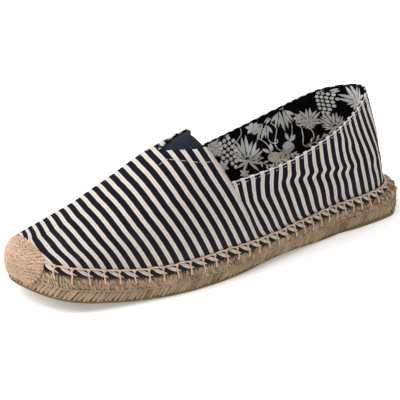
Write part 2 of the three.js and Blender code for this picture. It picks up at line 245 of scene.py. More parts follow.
@dataclass(frozen=True)
class Last:
    """The form that the shoe is built round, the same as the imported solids'."""

    heel_back: float = -6.4
    heel_across: float = -2.0
    toe_front: float = 263.0
    toe_across: float = -7.0
    gap: float = 0.3
    rubber: float = 2.2
    toe_spring: float = 11.5
    spring_start: float = 176.0
    waist_lift: float = 2.6
    waist_from: float = 58.0
    waist_to: float = 152.0
    sole_height: float = 18.3
    waist_dip: float = 1.0
    toe_thickening: float = 2.8
    thickening_from: float = 185.0
    thickening_to: float = 250.0
    feather_inset: float = 3.0
    heel_flare: float = 2.3
    skirt_drop: float = 4.0
    skirt_inset: float = 0.9
    heel_ledge: float = 5.0
    ledge_to: float = 30.0
    skirt_rise: float = 2.2
    shelf_drop: float = 5.1
    shelf_rise: float = 1.6
    sole_top_drop: float = 0.8
    cap_thickness: float = 1.3
    cap_relief_from: float = 236.0
    cap_relief_to: float = 256.0
    stand_from: float = 0.5
    lateral_skew: float = 0.5
    medial_skew: float = -12.0
    corner_share: float = 0.405
    seam_row: int = 6
    toe_row: int = 14

    @property
    def middle(self) -> float:
        """The along of the frame's origin."""
        return (self.heel_back + self.toe_front) / 2

    @cached_property
    def ring(self) -> Array:
        """The outline as a closed ring of along and across: heel, outer side, toe, inner side."""
        heel, toe = (self.heel_back, self.heel_across), (self.toe_front, self.toe_across)
        outer = [(row.along, row.lateral) for row in OUTLINE]
        inner = [(row.along, row.medial) for row in reversed(OUTLINE)]
        return np.array([heel, *outer, toe, *inner])

    def place(self, along: float, across: float, height: float) -> Array:
        """Puts a point in the shoe's frame."""
        return np.array([across, self.middle - along, height])

    def along_of(self, points: Array) -> Array:
        """Gives the along of points in the shoe's frame."""
        return self.middle - points[..., 1]

    def outward(self, ring_row: float) -> Array:
        """Gives the level direction out of the outline at a ring row."""
        step = 0.05
        ring = self.ring
        ahead = row_at(ring, ring_row + step, True) - row_at(ring, ring_row - step, True)
        return unit(np.array([ahead[0], ahead[1], 0.0]))

    def edge(self, ring_row: float, inset: float) -> tuple[float, float]:
        """Finds the outline, set in by inset. The toe is set in further, where the cap covers it.

        Args:
            ring_row: Where on the ring.
            inset: How far in.

        Returns:
            The point's along and across.
        """
        along, across = row_at(self.ring, ring_row, True)
        out = self.outward(ring_row)
        depth = inset + self.cap_thickness * smoothstep(along, self.cap_relief_from, self.cap_relief_to)
        return along + out[1] * depth, across - out[0] * depth

    def ledge(self, along: float) -> float:
        """How much of the heel's ledge there is."""
        return 1 - smoothstep(along, self.heel_back, self.ledge_to)

    def foot_edge(self, ring_row: float, inset: float) -> tuple[float, float]:
        """Finds the outline where the canvas stands, set in further by the heel's ledge."""
        along = row_at(self.ring, ring_row, True)[0]
        return self.edge(ring_row, inset + self.heel_ledge * self.ledge(along))

    def spring(self, along: float) -> float:
        """How far the toe's spring lifts the sole."""
        reach = max(0.0, along - self.spring_start) / (self.toe_front - self.spring_start)
        return self.toe_spring * reach * reach

    def waist(self, along: float) -> float:
        """How much of the waist's lift there is."""
        share = min(max((along - self.waist_from) / (self.waist_to - self.waist_from), 0.0), 1.0)
        return math.sin(math.pi * share) ** 2

    def underside(self, along: float) -> float:
        """The height of the rubber's underside."""
        return self.spring(along) + self.waist_lift * self.waist(along)

    def sole_top(self, along: float) -> float:
        """The height of the sole's upper edge, where the canvas stands."""
        toe = self.toe_thickening * smoothstep(along, self.thickening_from, self.thickening_to)
        return self.sole_height + self.spring(along) + toe - self.waist_dip * self.waist(along)

    def shelf(self, along: float) -> float:
        """The height of the jute's shelf under the canvas margin."""
        return self.sole_top(along) - self.shelf_drop + self.shelf_rise * self.ledge(along)

    def flare(self, along: float) -> float:
        """How far the sides of the heel's foot stand out."""
        return self.heel_flare * smoothstep(along, 0, 12) * (1 - smoothstep(along, 40, 54))

    def flared_edge(self, ring_row: float, inset: float, share: float = 1.0) -> tuple[float, float]:
        """Finds the outline, set in by inset and out by a share of the heel's flare."""
        return self.edge(ring_row, inset - self.flare(row_at(self.ring, ring_row, True)[0]) * share)

    def side_point(self, ring_row: float, rise: float, stand: float = 0.0) -> Array:
        """Finds a point on the jute's side.

        Args:
            ring_row: Where on the ring.
            rise: Its share of the side's height.
            stand: How far it stands out of the side.

        Returns:
            The point.
        """
        levels = np.array(SOLE_SIDE)
        inset = float(np.interp(rise, levels[:, 0], levels[:, 1])) - stand
        along, across = self.flared_edge(ring_row, inset, 1 - rise)
        foot = self.underside(along) + self.rubber + self.gap
        return self.place(along, across, lerp(foot, self.shelf(along), rise))

    def foot(self, ring_row: float) -> Array:
        """Where the canvas meets the sole's upper edge."""
        along, across = self.foot_edge(ring_row, self.feather_inset)
        return self.place(along, across, self.sole_top(along))

    def skirt_edge(self, ring_row: float) -> Array:
        """The lower edge of the canvas margin that is folded over the jute."""
        along, across = self.foot_edge(ring_row, self.skirt_inset)
        height = self.sole_top(along) - self.skirt_drop + self.skirt_rise * self.ledge(along)
        return self.place(along, across, height)

    def vamp_ring(self, side: int, toe_share: float) -> float:
        """The ring row of a vamp rib, whose toe share is 0 at the seam and 1 at the toe."""
        seam = self.seam_row if side == LATERAL else len(self.ring) - self.seam_row
        return lerp(seam, self.toe_row, toe_share)

    @cached_property
    def spine_numbers(self) -> tuple[Array, Array]:
        """The spine's alongs, and the fractional rows of its table that have them."""
        rows = np.array(SPINE)
        numbers = np.linspace(0, len(rows) - 1, 241)
        return np.array([row_at(rows, number, False)[0] for number in numbers]), numbers

    def spine_at(self, toe_share: float) -> tuple[SpineRow, float]:
        """Finds the spine for a share of the way to the toe.

        Args:
            toe_share: 0 at the seam and 1 at the toe.

        Returns:
            The spine's row, and its slope towards the toe.
        """
        rings = [self.vamp_ring(side, toe_share) for side in (LATERAL, MEDIAL)]
        feet = [self.edge(ring, self.feather_inset)[0] for ring in rings]
        seam = OUTLINE[self.seam_row - 1].along
        toe = self.edge(self.toe_row, self.feather_inset)[0]
        share = (sum(feet) / 2 - seam) / (toe - seam)
        number = float(np.interp(lerp(SPINE[0].along, SPINE[-1].along, share), *self.spine_numbers))
        rows = np.array(SPINE)
        behind = row_at(rows, number - 0.1, False)
        ahead = row_at(rows, number + 0.1, False)
        slope = (ahead[2] - behind[2]) / (ahead[0] - behind[0])
        return SpineRow(*row_at(rows, number, False)), slope

    def vamp_rib(self, side: int, toe_share: float) -> Array:
        """Gives the handles of a vamp rib, from its foot to the spine.

        Args:
            side: LATERAL or MEDIAL.
            toe_share: 0 at the seam and 1 at the toe.

        Returns:
            Four handles.
        """
        start = self.foot(self.vamp_ring(side, toe_share))
        spine, slope = self.spine_at(toe_share)
        end = self.place(spine.along, spine.across, spine.height)
        lean = 1 - smoothstep(toe_share, self.stand_from, 1)
        skew = self.lateral_skew if side == LATERAL else self.medial_skew
        skew *= 1 - smoothstep(toe_share, 0, self.stand_from)
        low = start.copy()
        low[2] = lerp(start[2], end[2], spine.side_rise)
        low[1] = lerp(start[1], end[1], spine.side_rise * lean)
        high = end.copy()
        high[0] = lerp(end[0], start[0], spine.crown_reach)
        high[1] = lerp(end[1], start[1], spine.crown_reach * (1 - lean)) - skew
        high[2] = end[2] + slope * skew
        return np.array([start, low, high, end])

    def corner(self, side: int) -> Array:
        """Gives the handles of the seam's rib, from its foot to the collar's corner."""
        return bezier_start(self.vamp_rib(side, 0), self.corner_share)

    @cached_property
    def collar(self) -> Array:
        """The topline's rows, along, across, height and two leans, from inner corner to outer corner."""
        corners = []
        for side in (MEDIAL, LATERAL):
            top = self.corner(side)[3]
            corners.append((self.along_of(top), top[0], top[2], 0, 0))
        inner = [(row.along, row.medial, *row[3:]) for row in reversed(TOPLINE)]
        outer = [(row.along, row.lateral, *row[3:]) for row in TOPLINE]
        heel = (HEEL_TOP.along, HEEL_TOP.lateral, *HEEL_TOP[3:])
        return np.array([corners[0], *inner, heel, *outer, corners[1]], float)

    def quarter_rib(self, ring_row: float) -> Array:
        """Gives the handles of a quarter's rib.

        Args:
            ring_row: From minus the seam's row, the inner seam, to the seam's row.

        Returns:
            Four handles, from the foot to the topline.
        """
        start = self.foot(ring_row)
        along, across, height, low_lean, high_lean = row_at(self.collar, ring_row + self.seam_row, False)
        end = self.place(along, across, height)
        third = (end[2] - start[2]) / 3
        low = start + (end - start) * low_lean
        low[2] = start[2] + third
        high = end + (start - end) * high_lean
        high[2] = end[2] - third
        corner = self.corner(LATERAL if ring_row > 0 else MEDIAL)
        share = smoothstep(abs(ring_row), self.seam_row - 1, self.seam_row)
        if share > 0:
            low = low + (corner[1] - corner[0] + start - low) * share
            high = high + (corner[2] - corner[3] + end - high) * share
        return np.array([start, low, high, end])


LAST = Last()


# ---- sheets of points, and meshes ----


@dataclass
class Cloth:
    """A sheet of points in columns that run up the shoe, with its pattern's coordinates."""

    points: Array
    pattern: Array
    closes_on_spine: bool = False

    @property
    def normals(self) -> Array:
        """The outward direction at each point. Columns run so that up crossed with round points out."""
        points = self.points
        count, rows = points.shape[:2]
        round_way = np.empty_like(points)
        round_way[1:-1] = points[2:] - points[:-2]
        round_way[0] = points[1] - points[0]
        round_way[-1] = points[-1] - points[-2]
        up = np.empty_like(points)
        up[:, 1:-1] = points[:, 2:] - points[:, :-2]
        up[:, 0] = points[:, 1] - points[:, 0]
        up[:, -1] = points[:, -1] - points[:, -2]
        if self.closes_on_spine:
            mirrored = points[::-1]
            meets = np.linalg.norm(mirrored[:, -1] - points[:, -1], axis=-1) < 1e-6
            up[meets, -1] = (mirrored[:, -2] - points[:, -2])[meets]
            middle = count // 2
            round_way[middle, -1] = round_way[middle, -2]
            up[middle, -1] = points[middle, -1] - points[middle, -2]
        return unit(np.cross(round_way, up))

    def shifted(self, distance: float) -> "Cloth":
        """Gives the sheet moved along its normals, outwards where distance is above 0."""
        return Cloth(self.points + self.normals * distance, self.pattern, self.closes_on_spine)


def deselect() -> None:
    """Leaves nothing selected."""
    bpy.ops.object.select_all(action="DESELECT")


def choose(piece: bpy.types.Object) -> None:
    """Makes one piece the only selected and active one."""
    deselect()
    piece.select_set(True)
    bpy.context.view_layer.objects.active = piece


def write_pattern(mesh: bpy.types.Mesh, layer: bpy.types.MeshUVLoopLayer, pattern: Array) -> None:
    """Writes the pattern's coordinates, one pair for each point, into a UV map."""
    corner = np.empty(len(mesh.loops), int)
    mesh.loops.foreach_get("vertex_index", corner)
    layer.data.foreach_set("uv", pattern[corner].ravel())


def grid_piece(name: str, cloth: Cloth, inside_out: bool = False) -> bpy.types.Object:
    """Adds a grid and shapes it to a sheet of points.

    Args:
        name: The piece's name.
        cloth: The sheet.
        inside_out: True where its faces point to the inside of the shoe.

    Returns:
        The piece, with the sheet's pattern as its UV map.
    """
    columns, rows = cloth.points.shape[:2]
    deselect()
    bpy.ops.mesh.primitive_grid_add(x_subdivisions=columns - 1, y_subdivisions=rows - 1, size=2)
    piece = bpy.context.object
    piece.name = name
    mesh = piece.data
    flat = np.empty(len(mesh.vertices) * 3)
    mesh.vertices.foreach_get("co", flat)
    shares = (flat.reshape(-1, 3)[:, :2] + 1) / 2
    column = np.rint(shares[:, 0] * (columns - 1)).astype(int)
    row = np.rint(shares[:, 1] * (rows - 1)).astype(int)
    mesh.vertices.foreach_set("co", (cloth.points[column, row] * MM).ravel())
    mesh.uv_layers[0].name = CLOTH_UV
    write_pattern(mesh, mesh.uv_layers[0], cloth.pattern[column, row])
    if inside_out:
        mesh.flip_normals()
    mesh.update()
    bpy.ops.object.shade_smooth()
    return piece


@contextmanager
def editing(piece: bpy.types.Object) -> Iterator[None]:
    """Opens a piece's mesh with everything selected, and closes it again."""
    choose(piece)
    bpy.ops.object.mode_set(mode="EDIT")
    bpy.ops.mesh.select_all(action="SELECT")
    yield
    bpy.ops.object.mode_set(mode="OBJECT")


def weld(piece: bpy.types.Object, distance: float = 0.01) -> None:
    """Merges points that lie together, so that seams and poles close."""
    with editing(piece):
        bpy.ops.mesh.remove_doubles(threshold=distance * MM)


def thicken(piece: bpy.types.Object, thickness: float) -> None:
    """Gives a sheet its thickness, on its inner side."""
    choose(piece)
    modifier = piece.modifiers.new("thickness", "SOLIDIFY")
    modifier.thickness = thickness * MM
    modifier.offset = -1
    bpy.ops.object.modifier_apply(modifier=modifier.name)


def join(name: str, pieces: Sequence[bpy.types.Object]) -> bpy.types.Object:
    """Joins pieces into the first of them and names it."""
    choose(pieces[0])
    for piece in pieces:
        piece.select_set(True)
    bpy.ops.object.join()
    pieces[0].name = name
    return pieces[0]


def raw_piece(
    name: str, points: Array, faces: Sequence[Sequence[int]], pattern: Array | None
) -> bpy.types.Object:
    """Makes a mesh from points and faces.

    Args:
        name: The piece's name.
        points: Its points.
        faces: The point numbers of each face.
        pattern: The pattern's coordinates at each point, or None.

    Returns:
        The piece.
    """
    mesh = bpy.data.meshes.new(name)
    mesh.from_pydata((points * MM).tolist(), [], faces)
    if pattern is not None:
        write_pattern(mesh, mesh.uv_layers.new(name=CLOTH_UV), pattern)
    mesh.shade_smooth()
    mesh.update()
    piece = bpy.data.objects.new(name, mesh)
    bpy.context.scene.collection.objects.link(piece)
    return piece


def set_tint(piece: bpy.types.Object, tints: Array | float) -> None:
    """Stores a tint for each point of a piece, or one for them all."""
    attribute = piece.data.attributes.new(TINT, "FLOAT", "POINT")
    attribute.data.foreach_set("value", np.full(len(piece.data.vertices), tints, np.float32))


def scatter(
    name: str, model: bpy.types.Object, places: Sequence[Matrix], tints: Sequence[float]
) -> bpy.types.Object:
    """Copies a small model to many places, each copy with its own mesh, and joins the copies.

    Args:
        name: The piece's name.
        model: The model, which is removed.
        places: Where each copy goes, in millimetres.
        tints: The tint of each copy.

    Returns:
        The joined piece.
    """
    source = model.data
    points = np.array([vertex.co for vertex in source.vertices])
    faces = [list(polygon.vertices) for polygon in source.polygons]
    count = len(points)
    layer = source.uv_layers[0].data
    pattern = np.zeros((count, 2))
    for loop in source.loops:
        pattern[loop.vertex_index] = layer[loop.index].uv
    all_points = [points @ np.array(place.to_3x3()).T + np.array(place.translation) for place in places]
    all_faces = [[index + copy * count for index in face] for copy in range(len(places)) for face in faces]
    piece = raw_piece(name, np.concatenate(all_points), all_faces, np.tile(pattern, (len(places), 1)))
    set_tint(piece, np.repeat(tints, count))
    bpy.data.objects.remove(model)
    return piece


def axes_place(position: Array, along: Array, out: Array) -> Matrix:
    """Makes the matrix that puts a model's X along one way and its Z out of a surface."""
    first = unit(along)
    third = unit(out - first * float(np.dot(out, first)))
    second = np.cross(third, first)
    place = Matrix.Identity(4)
    for axis, vector in enumerate((first, second, third, position)):
        for line in range(3):
            place[line][axis] = vector[line]
    return place


def resample(path: Array, pitch: float) -> Array:
    """Spaces the points of a path evenly, about pitch apart."""
    lengths = run_lengths(path)
    count = max(int(round(lengths[-1] / pitch)), 2)
    stations = np.linspace(0, lengths[-1], count + 1)
    return at_lengths(path, lengths, stations)


def curve_through(points: Sequence[Array], steps: int = 4) -> Array:
    """Runs a smooth path through a few points."""
    rows = np.array(points)
    numbers = np.linspace(0, len(rows) - 1, (len(rows) - 1) * steps + 1)
    return np.array([row_at(rows, number, False) for number in numbers])


def tubes(
    name: str, paths: Sequence[Array], radius: float, sides: int = 6, taper: float = 1.0
) -> bpy.types.Object:
    """Sweeps a round thread along each of many paths.

    Args:
        name: The piece's name.
        paths: The paths.
        radius: The thread's radius.
        sides: How many sides it has.
        taper: The radius at the far end, as a share of radius.

    Returns:
        One piece with all of the threads. Its pattern runs along and round each thread.
    """
    points: list[Array] = []
    pattern: list[Array] = []
    faces: list[list[int]] = []
    turn = np.arange(sides) / sides * 2 * math.pi
    start = 0
    for path in paths:
        count = len(path)
        ahead = unit(np.gradient(path, axis=0))
        side = unit(np.cross(ahead, np.array([0.31, 0.17, 0.93])))
        for step in range(1, count):
            carried = side[step - 1] - ahead[step] * float(np.dot(side[step - 1], ahead[step]))
            side[step] = unit(carried)
        other = np.cross(ahead, side)
        radii = radius * np.linspace(1, taper, count)[:, None, None]
        ring = side[:, None] * np.cos(turn)[None, :, None] + other[:, None] * np.sin(turn)[None, :, None]
        points.append((path[:, None] + ring * radii).reshape(-1, 3))
        lengths = run_lengths(path)
        around = np.tile(np.arange(sides) / sides, count)
        pattern.append(np.stack([np.repeat(lengths, sides), around * 2 * math.pi * radius], axis=1))
        for step in range(count - 1):
            for index in range(sides):
                following = (index + 1) % sides
                low, high = start + step * sides, start + (step + 1) * sides
                faces.append([low + index, low + following, high + following, high + index])
        faces.append([start + index for index in reversed(range(sides))])
        faces.append([start + (count - 1) * sides + index for index in range(sides)])
        start += count * sides
    return raw_piece(name, np.concatenate(points), faces, np.concatenate(pattern))


def plied(path: Array, radius: float, lay: float) -> list[Array]:
    """Twists two plies round a path.

    Args:
        path: The thread's middle.
        radius: The thread's radius, which is twice a ply's.
        lay: The length of one full twist.

    Returns:
        The two plies' paths.
    """
    even = resample(path, lay / 6)
    ahead = unit(np.gradient(even, axis=0))
    side = unit(np.cross(ahead, np.array([0.31, 0.17, 0.93])))
    other = np.cross(ahead, side)
    lengths = run_lengths(even)
    plies = []
    for phase in (0, math.pi):
        angle = (lengths / lay * 2 * math.pi + phase)[:, None]
        plies.append(even + (side * np.cos(angle) + other * np.sin(angle)) * radius / 2)
    return plies


def finish_piece(
    piece: bpy.types.Object, material: bpy.types.Material, slot: str, *nodes: str
) -> bpy.types.Object:
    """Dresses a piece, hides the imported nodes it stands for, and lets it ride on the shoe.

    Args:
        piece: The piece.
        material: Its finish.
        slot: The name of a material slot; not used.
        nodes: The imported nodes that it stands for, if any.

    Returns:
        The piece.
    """
    piece.data.materials.clear()
    piece.data.materials.append(material)
    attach(piece, BODY)
    if nodes:
        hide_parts(*nodes)
    LOG.info("%s: %d faces", piece.name, len(piece.data.polygons))
    return piece


# ---- finishes ----


class Tool(Enum):
    """The patterns that more than one finish uses, each built once as a node group."""

    WEAVE = "weave"
    MOTTLE = "mottle"
    TWIST = "twist"
    SOIL = "soil"


Socket = bpy.types.NodeSocket
Feed = "Socket | float | tuple[float, ...]"


@dataclass
class Bench:
    """Adds and wires the nodes of one tree."""

    tree: bpy.types.NodeTree

    def add(
        self, kind: str, feeds: dict[str | int, Feed] | None = None, **settings: object
    ) -> bpy.types.Node:
        """Adds a node.

        Args:
            kind: Its type.
            feeds: What goes into its inputs, by name or number.
            **settings: Its own settings.

        Returns:
            The node.
        """
        node = self.tree.nodes.new(kind)
        for name, value in settings.items():
            setattr(node, name, value)
        for key, feed in (feeds or {}).items():
            if isinstance(feed, bpy.types.NodeSocket):
                self.tree.links.new(feed, node.inputs[key])
            else:
                node.inputs[key].default_value = feed
        return node

    def maths(self, operation: str, *feeds: Feed) -> Socket:
        """Adds a Math node on up to three feeds."""
        return self.add("ShaderNodeMath", dict(enumerate(feeds)), operation=operation).outputs[0]

    def times(self, first: Feed, second: Feed) -> Socket:
        """Multiplies two values."""
        return self.maths("MULTIPLY", first, second)

    def times_plus(self, first: Feed, second: Feed, third: Feed) -> Socket:
        """Multiplies two values and adds a third."""
        return self.maths("MULTIPLY_ADD", first, second, third)

    def blend(self, share: Feed, first: Feed, second: Feed) -> Socket:
        """Mixes two colours, each a socket or a Colour."""
        ends = [(*end, 1.0) if isinstance(end, tuple) else end for end in (first, second)]
        return self.add("ShaderNodeMix", {0: share, 6: ends[0], 7: ends[1]}, data_type="RGBA").outputs[2]

    def span(
        self, value: Feed, low: float, high: float, out_low: float = 0.0, out_high: float = 1.0
    ) -> Socket:
        """Maps a value from low..high to out_low..out_high, and holds the ends."""
        feeds = {0: value, 1: low, 2: high, 3: out_low, 4: out_high}
        return self.add("ShaderNodeMapRange", feeds, interpolation_type="SMOOTHSTEP").outputs[0]

    def noise(self, vector: Feed, scale: float, detail: float = 2.0) -> Socket:
        """Adds a noise pattern."""
        feeds = {"Vector": vector, "Scale": scale, "Detail": detail}
        return self.add("ShaderNodeTexNoise", feeds).outputs["Fac"]

    def parts(self, vector: Feed) -> list[Socket]:
        """Splits a vector."""
        return list(self.add("ShaderNodeSeparateXYZ", {0: vector}).outputs)

    def stretched(self, vector: Feed, scale: tuple[float, float, float]) -> Socket:
        """Scales a vector by axis."""
        return self.add("ShaderNodeMapping", {"Vector": vector, "Scale": scale}).outputs[0]

    def wave(self, value: Feed, pitch: Feed) -> Socket:
        """Gives a wave of a pitch, from 0 to 1."""
        turns = self.maths("MULTIPLY", self.maths("DIVIDE", value, pitch), 2 * math.pi)
        return self.maths("MULTIPLY_ADD", self.maths("SINE", turns), 0.5, 0.5)

    def bump(self, height: Feed, depth: float) -> Socket:
        """Turns a height from 0 to 1 into a normal, with the depth in millimetres."""
        feeds = {"Height": height, "Distance": depth * MM, "Strength": 1.0}
        return self.add("ShaderNodeBump", feeds).outputs[0]

    def tool(self, which: Tool, *feeds: Feed) -> Socket:
        """Places one of the shared patterns and gives its result."""
        group = shared_pattern(which)
        return self.add("ShaderNodeGroup", dict(enumerate(feeds)), node_tree=group).outputs[0]

    def cloth_way(self) -> Socket:
        """The piece's own pattern coordinates, in millimetres."""
        return self.add("ShaderNodeUVMap", uv_map=CLOTH_UV).outputs[0]

    def place(self) -> Socket:
        """The place in the shoe's frame, in metres."""
        return self.add("ShaderNodeTexCoord").outputs["Object"]

    def tint(self) -> Socket:
        """The tint stored on the piece's points."""
        return self.add("ShaderNodeAttribute", attribute_name=TINT).outputs["Fac"]


def shared_pattern(which: Tool) -> bpy.types.NodeTree:
    """Gives a shared pattern's node group, and builds it the first time.

    Args:
        which: The pattern.

    Returns:
        The group. Its one output is a value from 0 to 1.
    """
    if which.value in bpy.data.node_groups:
        return bpy.data.node_groups[which.value]
    group = bpy.data.node_groups.new(which.value, "ShaderNodeTree")
    build, way, *values = PATTERNS[which]
    group.interface.new_socket(way, in_out="INPUT", socket_type="NodeSocketVector")
    for value in values:
        group.interface.new_socket(value, in_out="INPUT", socket_type="NodeSocketFloat")
    group.interface.new_socket("Value", in_out="OUTPUT", socket_type="NodeSocketFloat")
    bench = Bench(group)
    result = build(bench, bench.add("NodeGroupInput").outputs)
    bench.add("NodeGroupOutput", {0: result})
    return group


def weave_pattern(bench: Bench, given: Sequence[Socket]) -> Socket:
    """Plain weave: threads go over and under each other at a pitch."""
    x, y, _ = bench.parts(given["Way"])
    over = bench.wave(x, given["Pitch"])
    under = bench.wave(y, given["Pitch"])
    crossing = bench.times(over, under)
    loose = bench.noise(bench.stretched(given["Way"], (1.2, 1.2, 1.0)), 1.0)
    return bench.times(bench.maths("SQRT", crossing), bench.span(loose, 0.2, 0.8, 0.75, 1.0))


def mottle_pattern(bench: Bench, given: Sequence[Socket]) -> Socket:
    """Soft uneven blotches."""
    feeds = {"Vector": given["Way"], "Scale": given["Scale"], "Detail": 4.0}
    coarse = bench.add("ShaderNodeTexNoise", feeds)
    return bench.span(coarse.outputs["Fac"], 0.3, 0.7)


def twist_pattern(bench: Bench, given: Sequence[Socket]) -> Socket:
    """Plies that wind round a thread: ridges that lean across it."""
    x, y, _ = bench.parts(given["Way"])
    lengths = bench.maths("DIVIDE", x, given["Lay"])
    turns = bench.maths("DIVIDE", y, given["Round"])
    return bench.wave(bench.maths("ADD", lengths, turns), 1.0)


def soil_pattern(bench: Bench, given: Sequence[Socket]) -> Socket:
    """Dust that lies low on the shoe, in patches."""
    height = bench.parts(given["Place"])[2]
    patches = bench.noise(given["Place"], 90.0, 4.0)
    low = bench.maths("SUBTRACT", 1.0, bench.maths("DIVIDE", height, given["Height"]))
    return bench.span(bench.times_plus(patches, 0.9, low), 0.55, 1.5)


PATTERNS = {
    Tool.WEAVE: (weave_pattern, "Way", "Pitch"),
    Tool.MOTTLE: (mottle_pattern, "Way", "Scale"),
    Tool.TWIST: (twist_pattern, "Way", "Lay", "Round"),
    Tool.SOIL: (soil_pattern, "Place", "Height"),
}


@dataclass(frozen=True)
class Finish:
    """What every finish has: a name, a roughness, a shine and how much soft light its fibres catch."""

    name: str
    roughness: float = 0.9
    specular: float = 0.12
    sheen: float = 0.0

    def colour_and_relief(self, bench: Bench) -> tuple[Socket, Socket]:
        """Builds the finish's colour and its normal."""
        raise NotImplementedError

    def material(self) -> bpy.types.Material:
        """Builds the finish's material."""
        material = bpy.data.materials.new(self.name)
        material.use_nodes = True
        bench = Bench(material.node_tree)
        shader = material.node_tree.nodes["Principled BSDF"]
        colour, relief = self.colour_and_relief(bench)
        material.node_tree.links.new(colour, shader.inputs["Base Color"])
        material.node_tree.links.new(relief, shader.inputs["Normal"])
        shader.inputs["Roughness"].default_value = self.roughness
        shader.inputs["Specular IOR Level"].default_value = self.specular
        shader.inputs["Sheen Weight"].default_value = self.sheen
        shader.inputs["Sheen Roughness"].default_value = 0.6
        return material


@dataclass(frozen=True)
class StripedCanvas(Finish):
    """Woven canvas with navy and cream stripes."""

    name: str = "striped_canvas"
    specular: float = 0.03
    dark: Colour = (0.0055, 0.0075, 0.0145)
    dark_warm: Colour = (0.0095, 0.0085, 0.012)
    light: Colour = (0.66, 0.605, 0.55)
    light_shade: Colour = (0.30, 0.25, 0.21)
    pitch: float = 6.87
    dark_share: float = 0.59
    edge_softness: float = 0.018
    # gap: painted shade between the weave's threads.
    gap: Colour = (0.02, 0.02, 0.025)
    dust: Colour = (0.33, 0.26, 0.18)
    dust_share: float = 0.05
    thread_pitch: float = 0.62
    weave_depth: float = 0.07

    def colour_and_relief(self, bench: Bench) -> tuple[Socket, Socket]:
        """Builds the stripes, their fine lines, the weave with painted shade between its threads, and a
        little dust.
        """
        way = bench.cloth_way()
        x = bench.parts(way)[0]
        wander = bench.noise(bench.stretched(way, (1.4, 0.35, 1.0)), 1.0)
        centred = bench.maths("SUBTRACT", bench.maths("DIVIDE", x, self.pitch), 0.03)
        ragged = bench.times_plus(wander, 0.06, centred)
        from_centre = bench.maths("PINGPONG", ragged, 0.5)
        edge = self.dark_share / 2
        stripe = bench.span(from_centre, edge - self.edge_softness, edge + self.edge_softness)
        lines = bench.span(from_centre, 0.44, 0.475)
        dots = bench.span(bench.noise(bench.stretched(way, (0.6, 1.6, 1.0)), 1.6), 0.42, 0.6)
        light = bench.blend(bench.times(lines, bench.times(dots, 0.95)), self.light, self.light_shade)
        mottle = bench.tool(Tool.MOTTLE, bench.stretched(way, (0.7, 0.25, 1.0)), 0.6)
        dark = bench.blend(mottle, self.dark, self.dark_warm)
        colour = bench.blend(stripe, dark, light)
        weave = bench.tool(Tool.WEAVE, way, self.thread_pitch)
        # Painted shade: the weave's low parts, between the threads, are darkened towards the gap colour.
        colour = bench.blend(bench.span(weave, 0.0, 0.6, 0.22, 0.0), colour, self.gap)
        soil = bench.tool(Tool.SOIL, bench.place(), 0.05)
        colour = bench.blend(bench.times(soil, self.dust_share), colour, self.dust)
        return colour, bench.bump(weave, self.weave_depth)


@dataclass(frozen=True)
class PrintedLining(Finish):
    """The lining's black ground."""

    name: str = "printed_lining"
    specular: float = 0.02
    ground: Colour = (0.003, 0.003, 0.004)
    worn: Colour = (0.014, 0.013, 0.014)
    thread_pitch: float = 0.5

    def colour_and_relief(self, bench: Bench) -> tuple[Socket, Socket]:
        """Builds a black cotton, a little worn."""
        way = bench.cloth_way()
        mottle = bench.tool(Tool.MOTTLE, way, 0.35)
        weave = bench.tool(Tool.WEAVE, way, self.thread_pitch)
        worn = bench.times(mottle, bench.times_plus(weave, 0.6, 0.2))
        return bench.blend(worn, self.ground, self.worn), bench.bump(weave, 0.05)


@dataclass(frozen=True)
class PrintInk(Finish):
    """The pale ink of the lining's print, brighter in the middle of each petal."""

    name: str = "lining_ink"
    warm: Colour = (1.0, 0.96, 0.92)
    cool: Colour = (0.90, 0.95, 1.0)
    outline: Colour = (0.06, 0.057, 0.06)

    def colour_and_relief(self, bench: Bench) -> tuple[Socket, Socket]:
        """Builds ink that fades to a petal's rim, with brushed streaks."""
        place = bench.place()
        blotch = bench.tool(Tool.MOTTLE, place, 45.0)
        ink = bench.blend(blotch, self.warm, self.cool)
        streaks = bench.noise(bench.stretched(place, (1.0, 1.0, 0.35)), 900.0)
        strength = bench.times(bench.tint(), bench.span(streaks, 0.3, 0.6, 1.0, 1.3))
        colour = bench.blend(strength, self.outline, ink)
        return colour, bench.bump(streaks, 0.03)


@dataclass(frozen=True)
class ElasticWeb(Finish):
    """The gusset's slate elastic, with fine ribs."""

    name: str = "elastic_web"
    specular: float = 0.05
    sheen: float = 0.03
    valley_shade: Colour = (0.006, 0.010, 0.016)
    ridge: Colour = (0.016, 0.025, 0.038)
    rib_pitch: float = 0.9

    def colour_and_relief(self, bench: Bench) -> tuple[Socket, Socket]:
        """Builds ribs along the web, crossed by its rubber threads, with painted shade in the valleys and
        painted light on the ridges.
        """
        way = bench.cloth_way()
        x, y, _ = bench.parts(way)
        ribs = bench.wave(y, self.rib_pitch)
        threads = bench.wave(x, self.rib_pitch * 0.5)
        height = bench.times_plus(threads, 0.3, bench.times(ribs, 0.7))
        mottle = bench.tool(Tool.MOTTLE, way, 0.4)
        # Painted light: the relief's height, with some random tone, runs the colour from the painted valley
        # shade to the lighter ridge.
        lit = bench.times_plus(mottle, 0.35, bench.times(height, 0.65))
        return bench.blend(lit, self.valley_shade, self.ridge), bench.bump(height, 0.12)


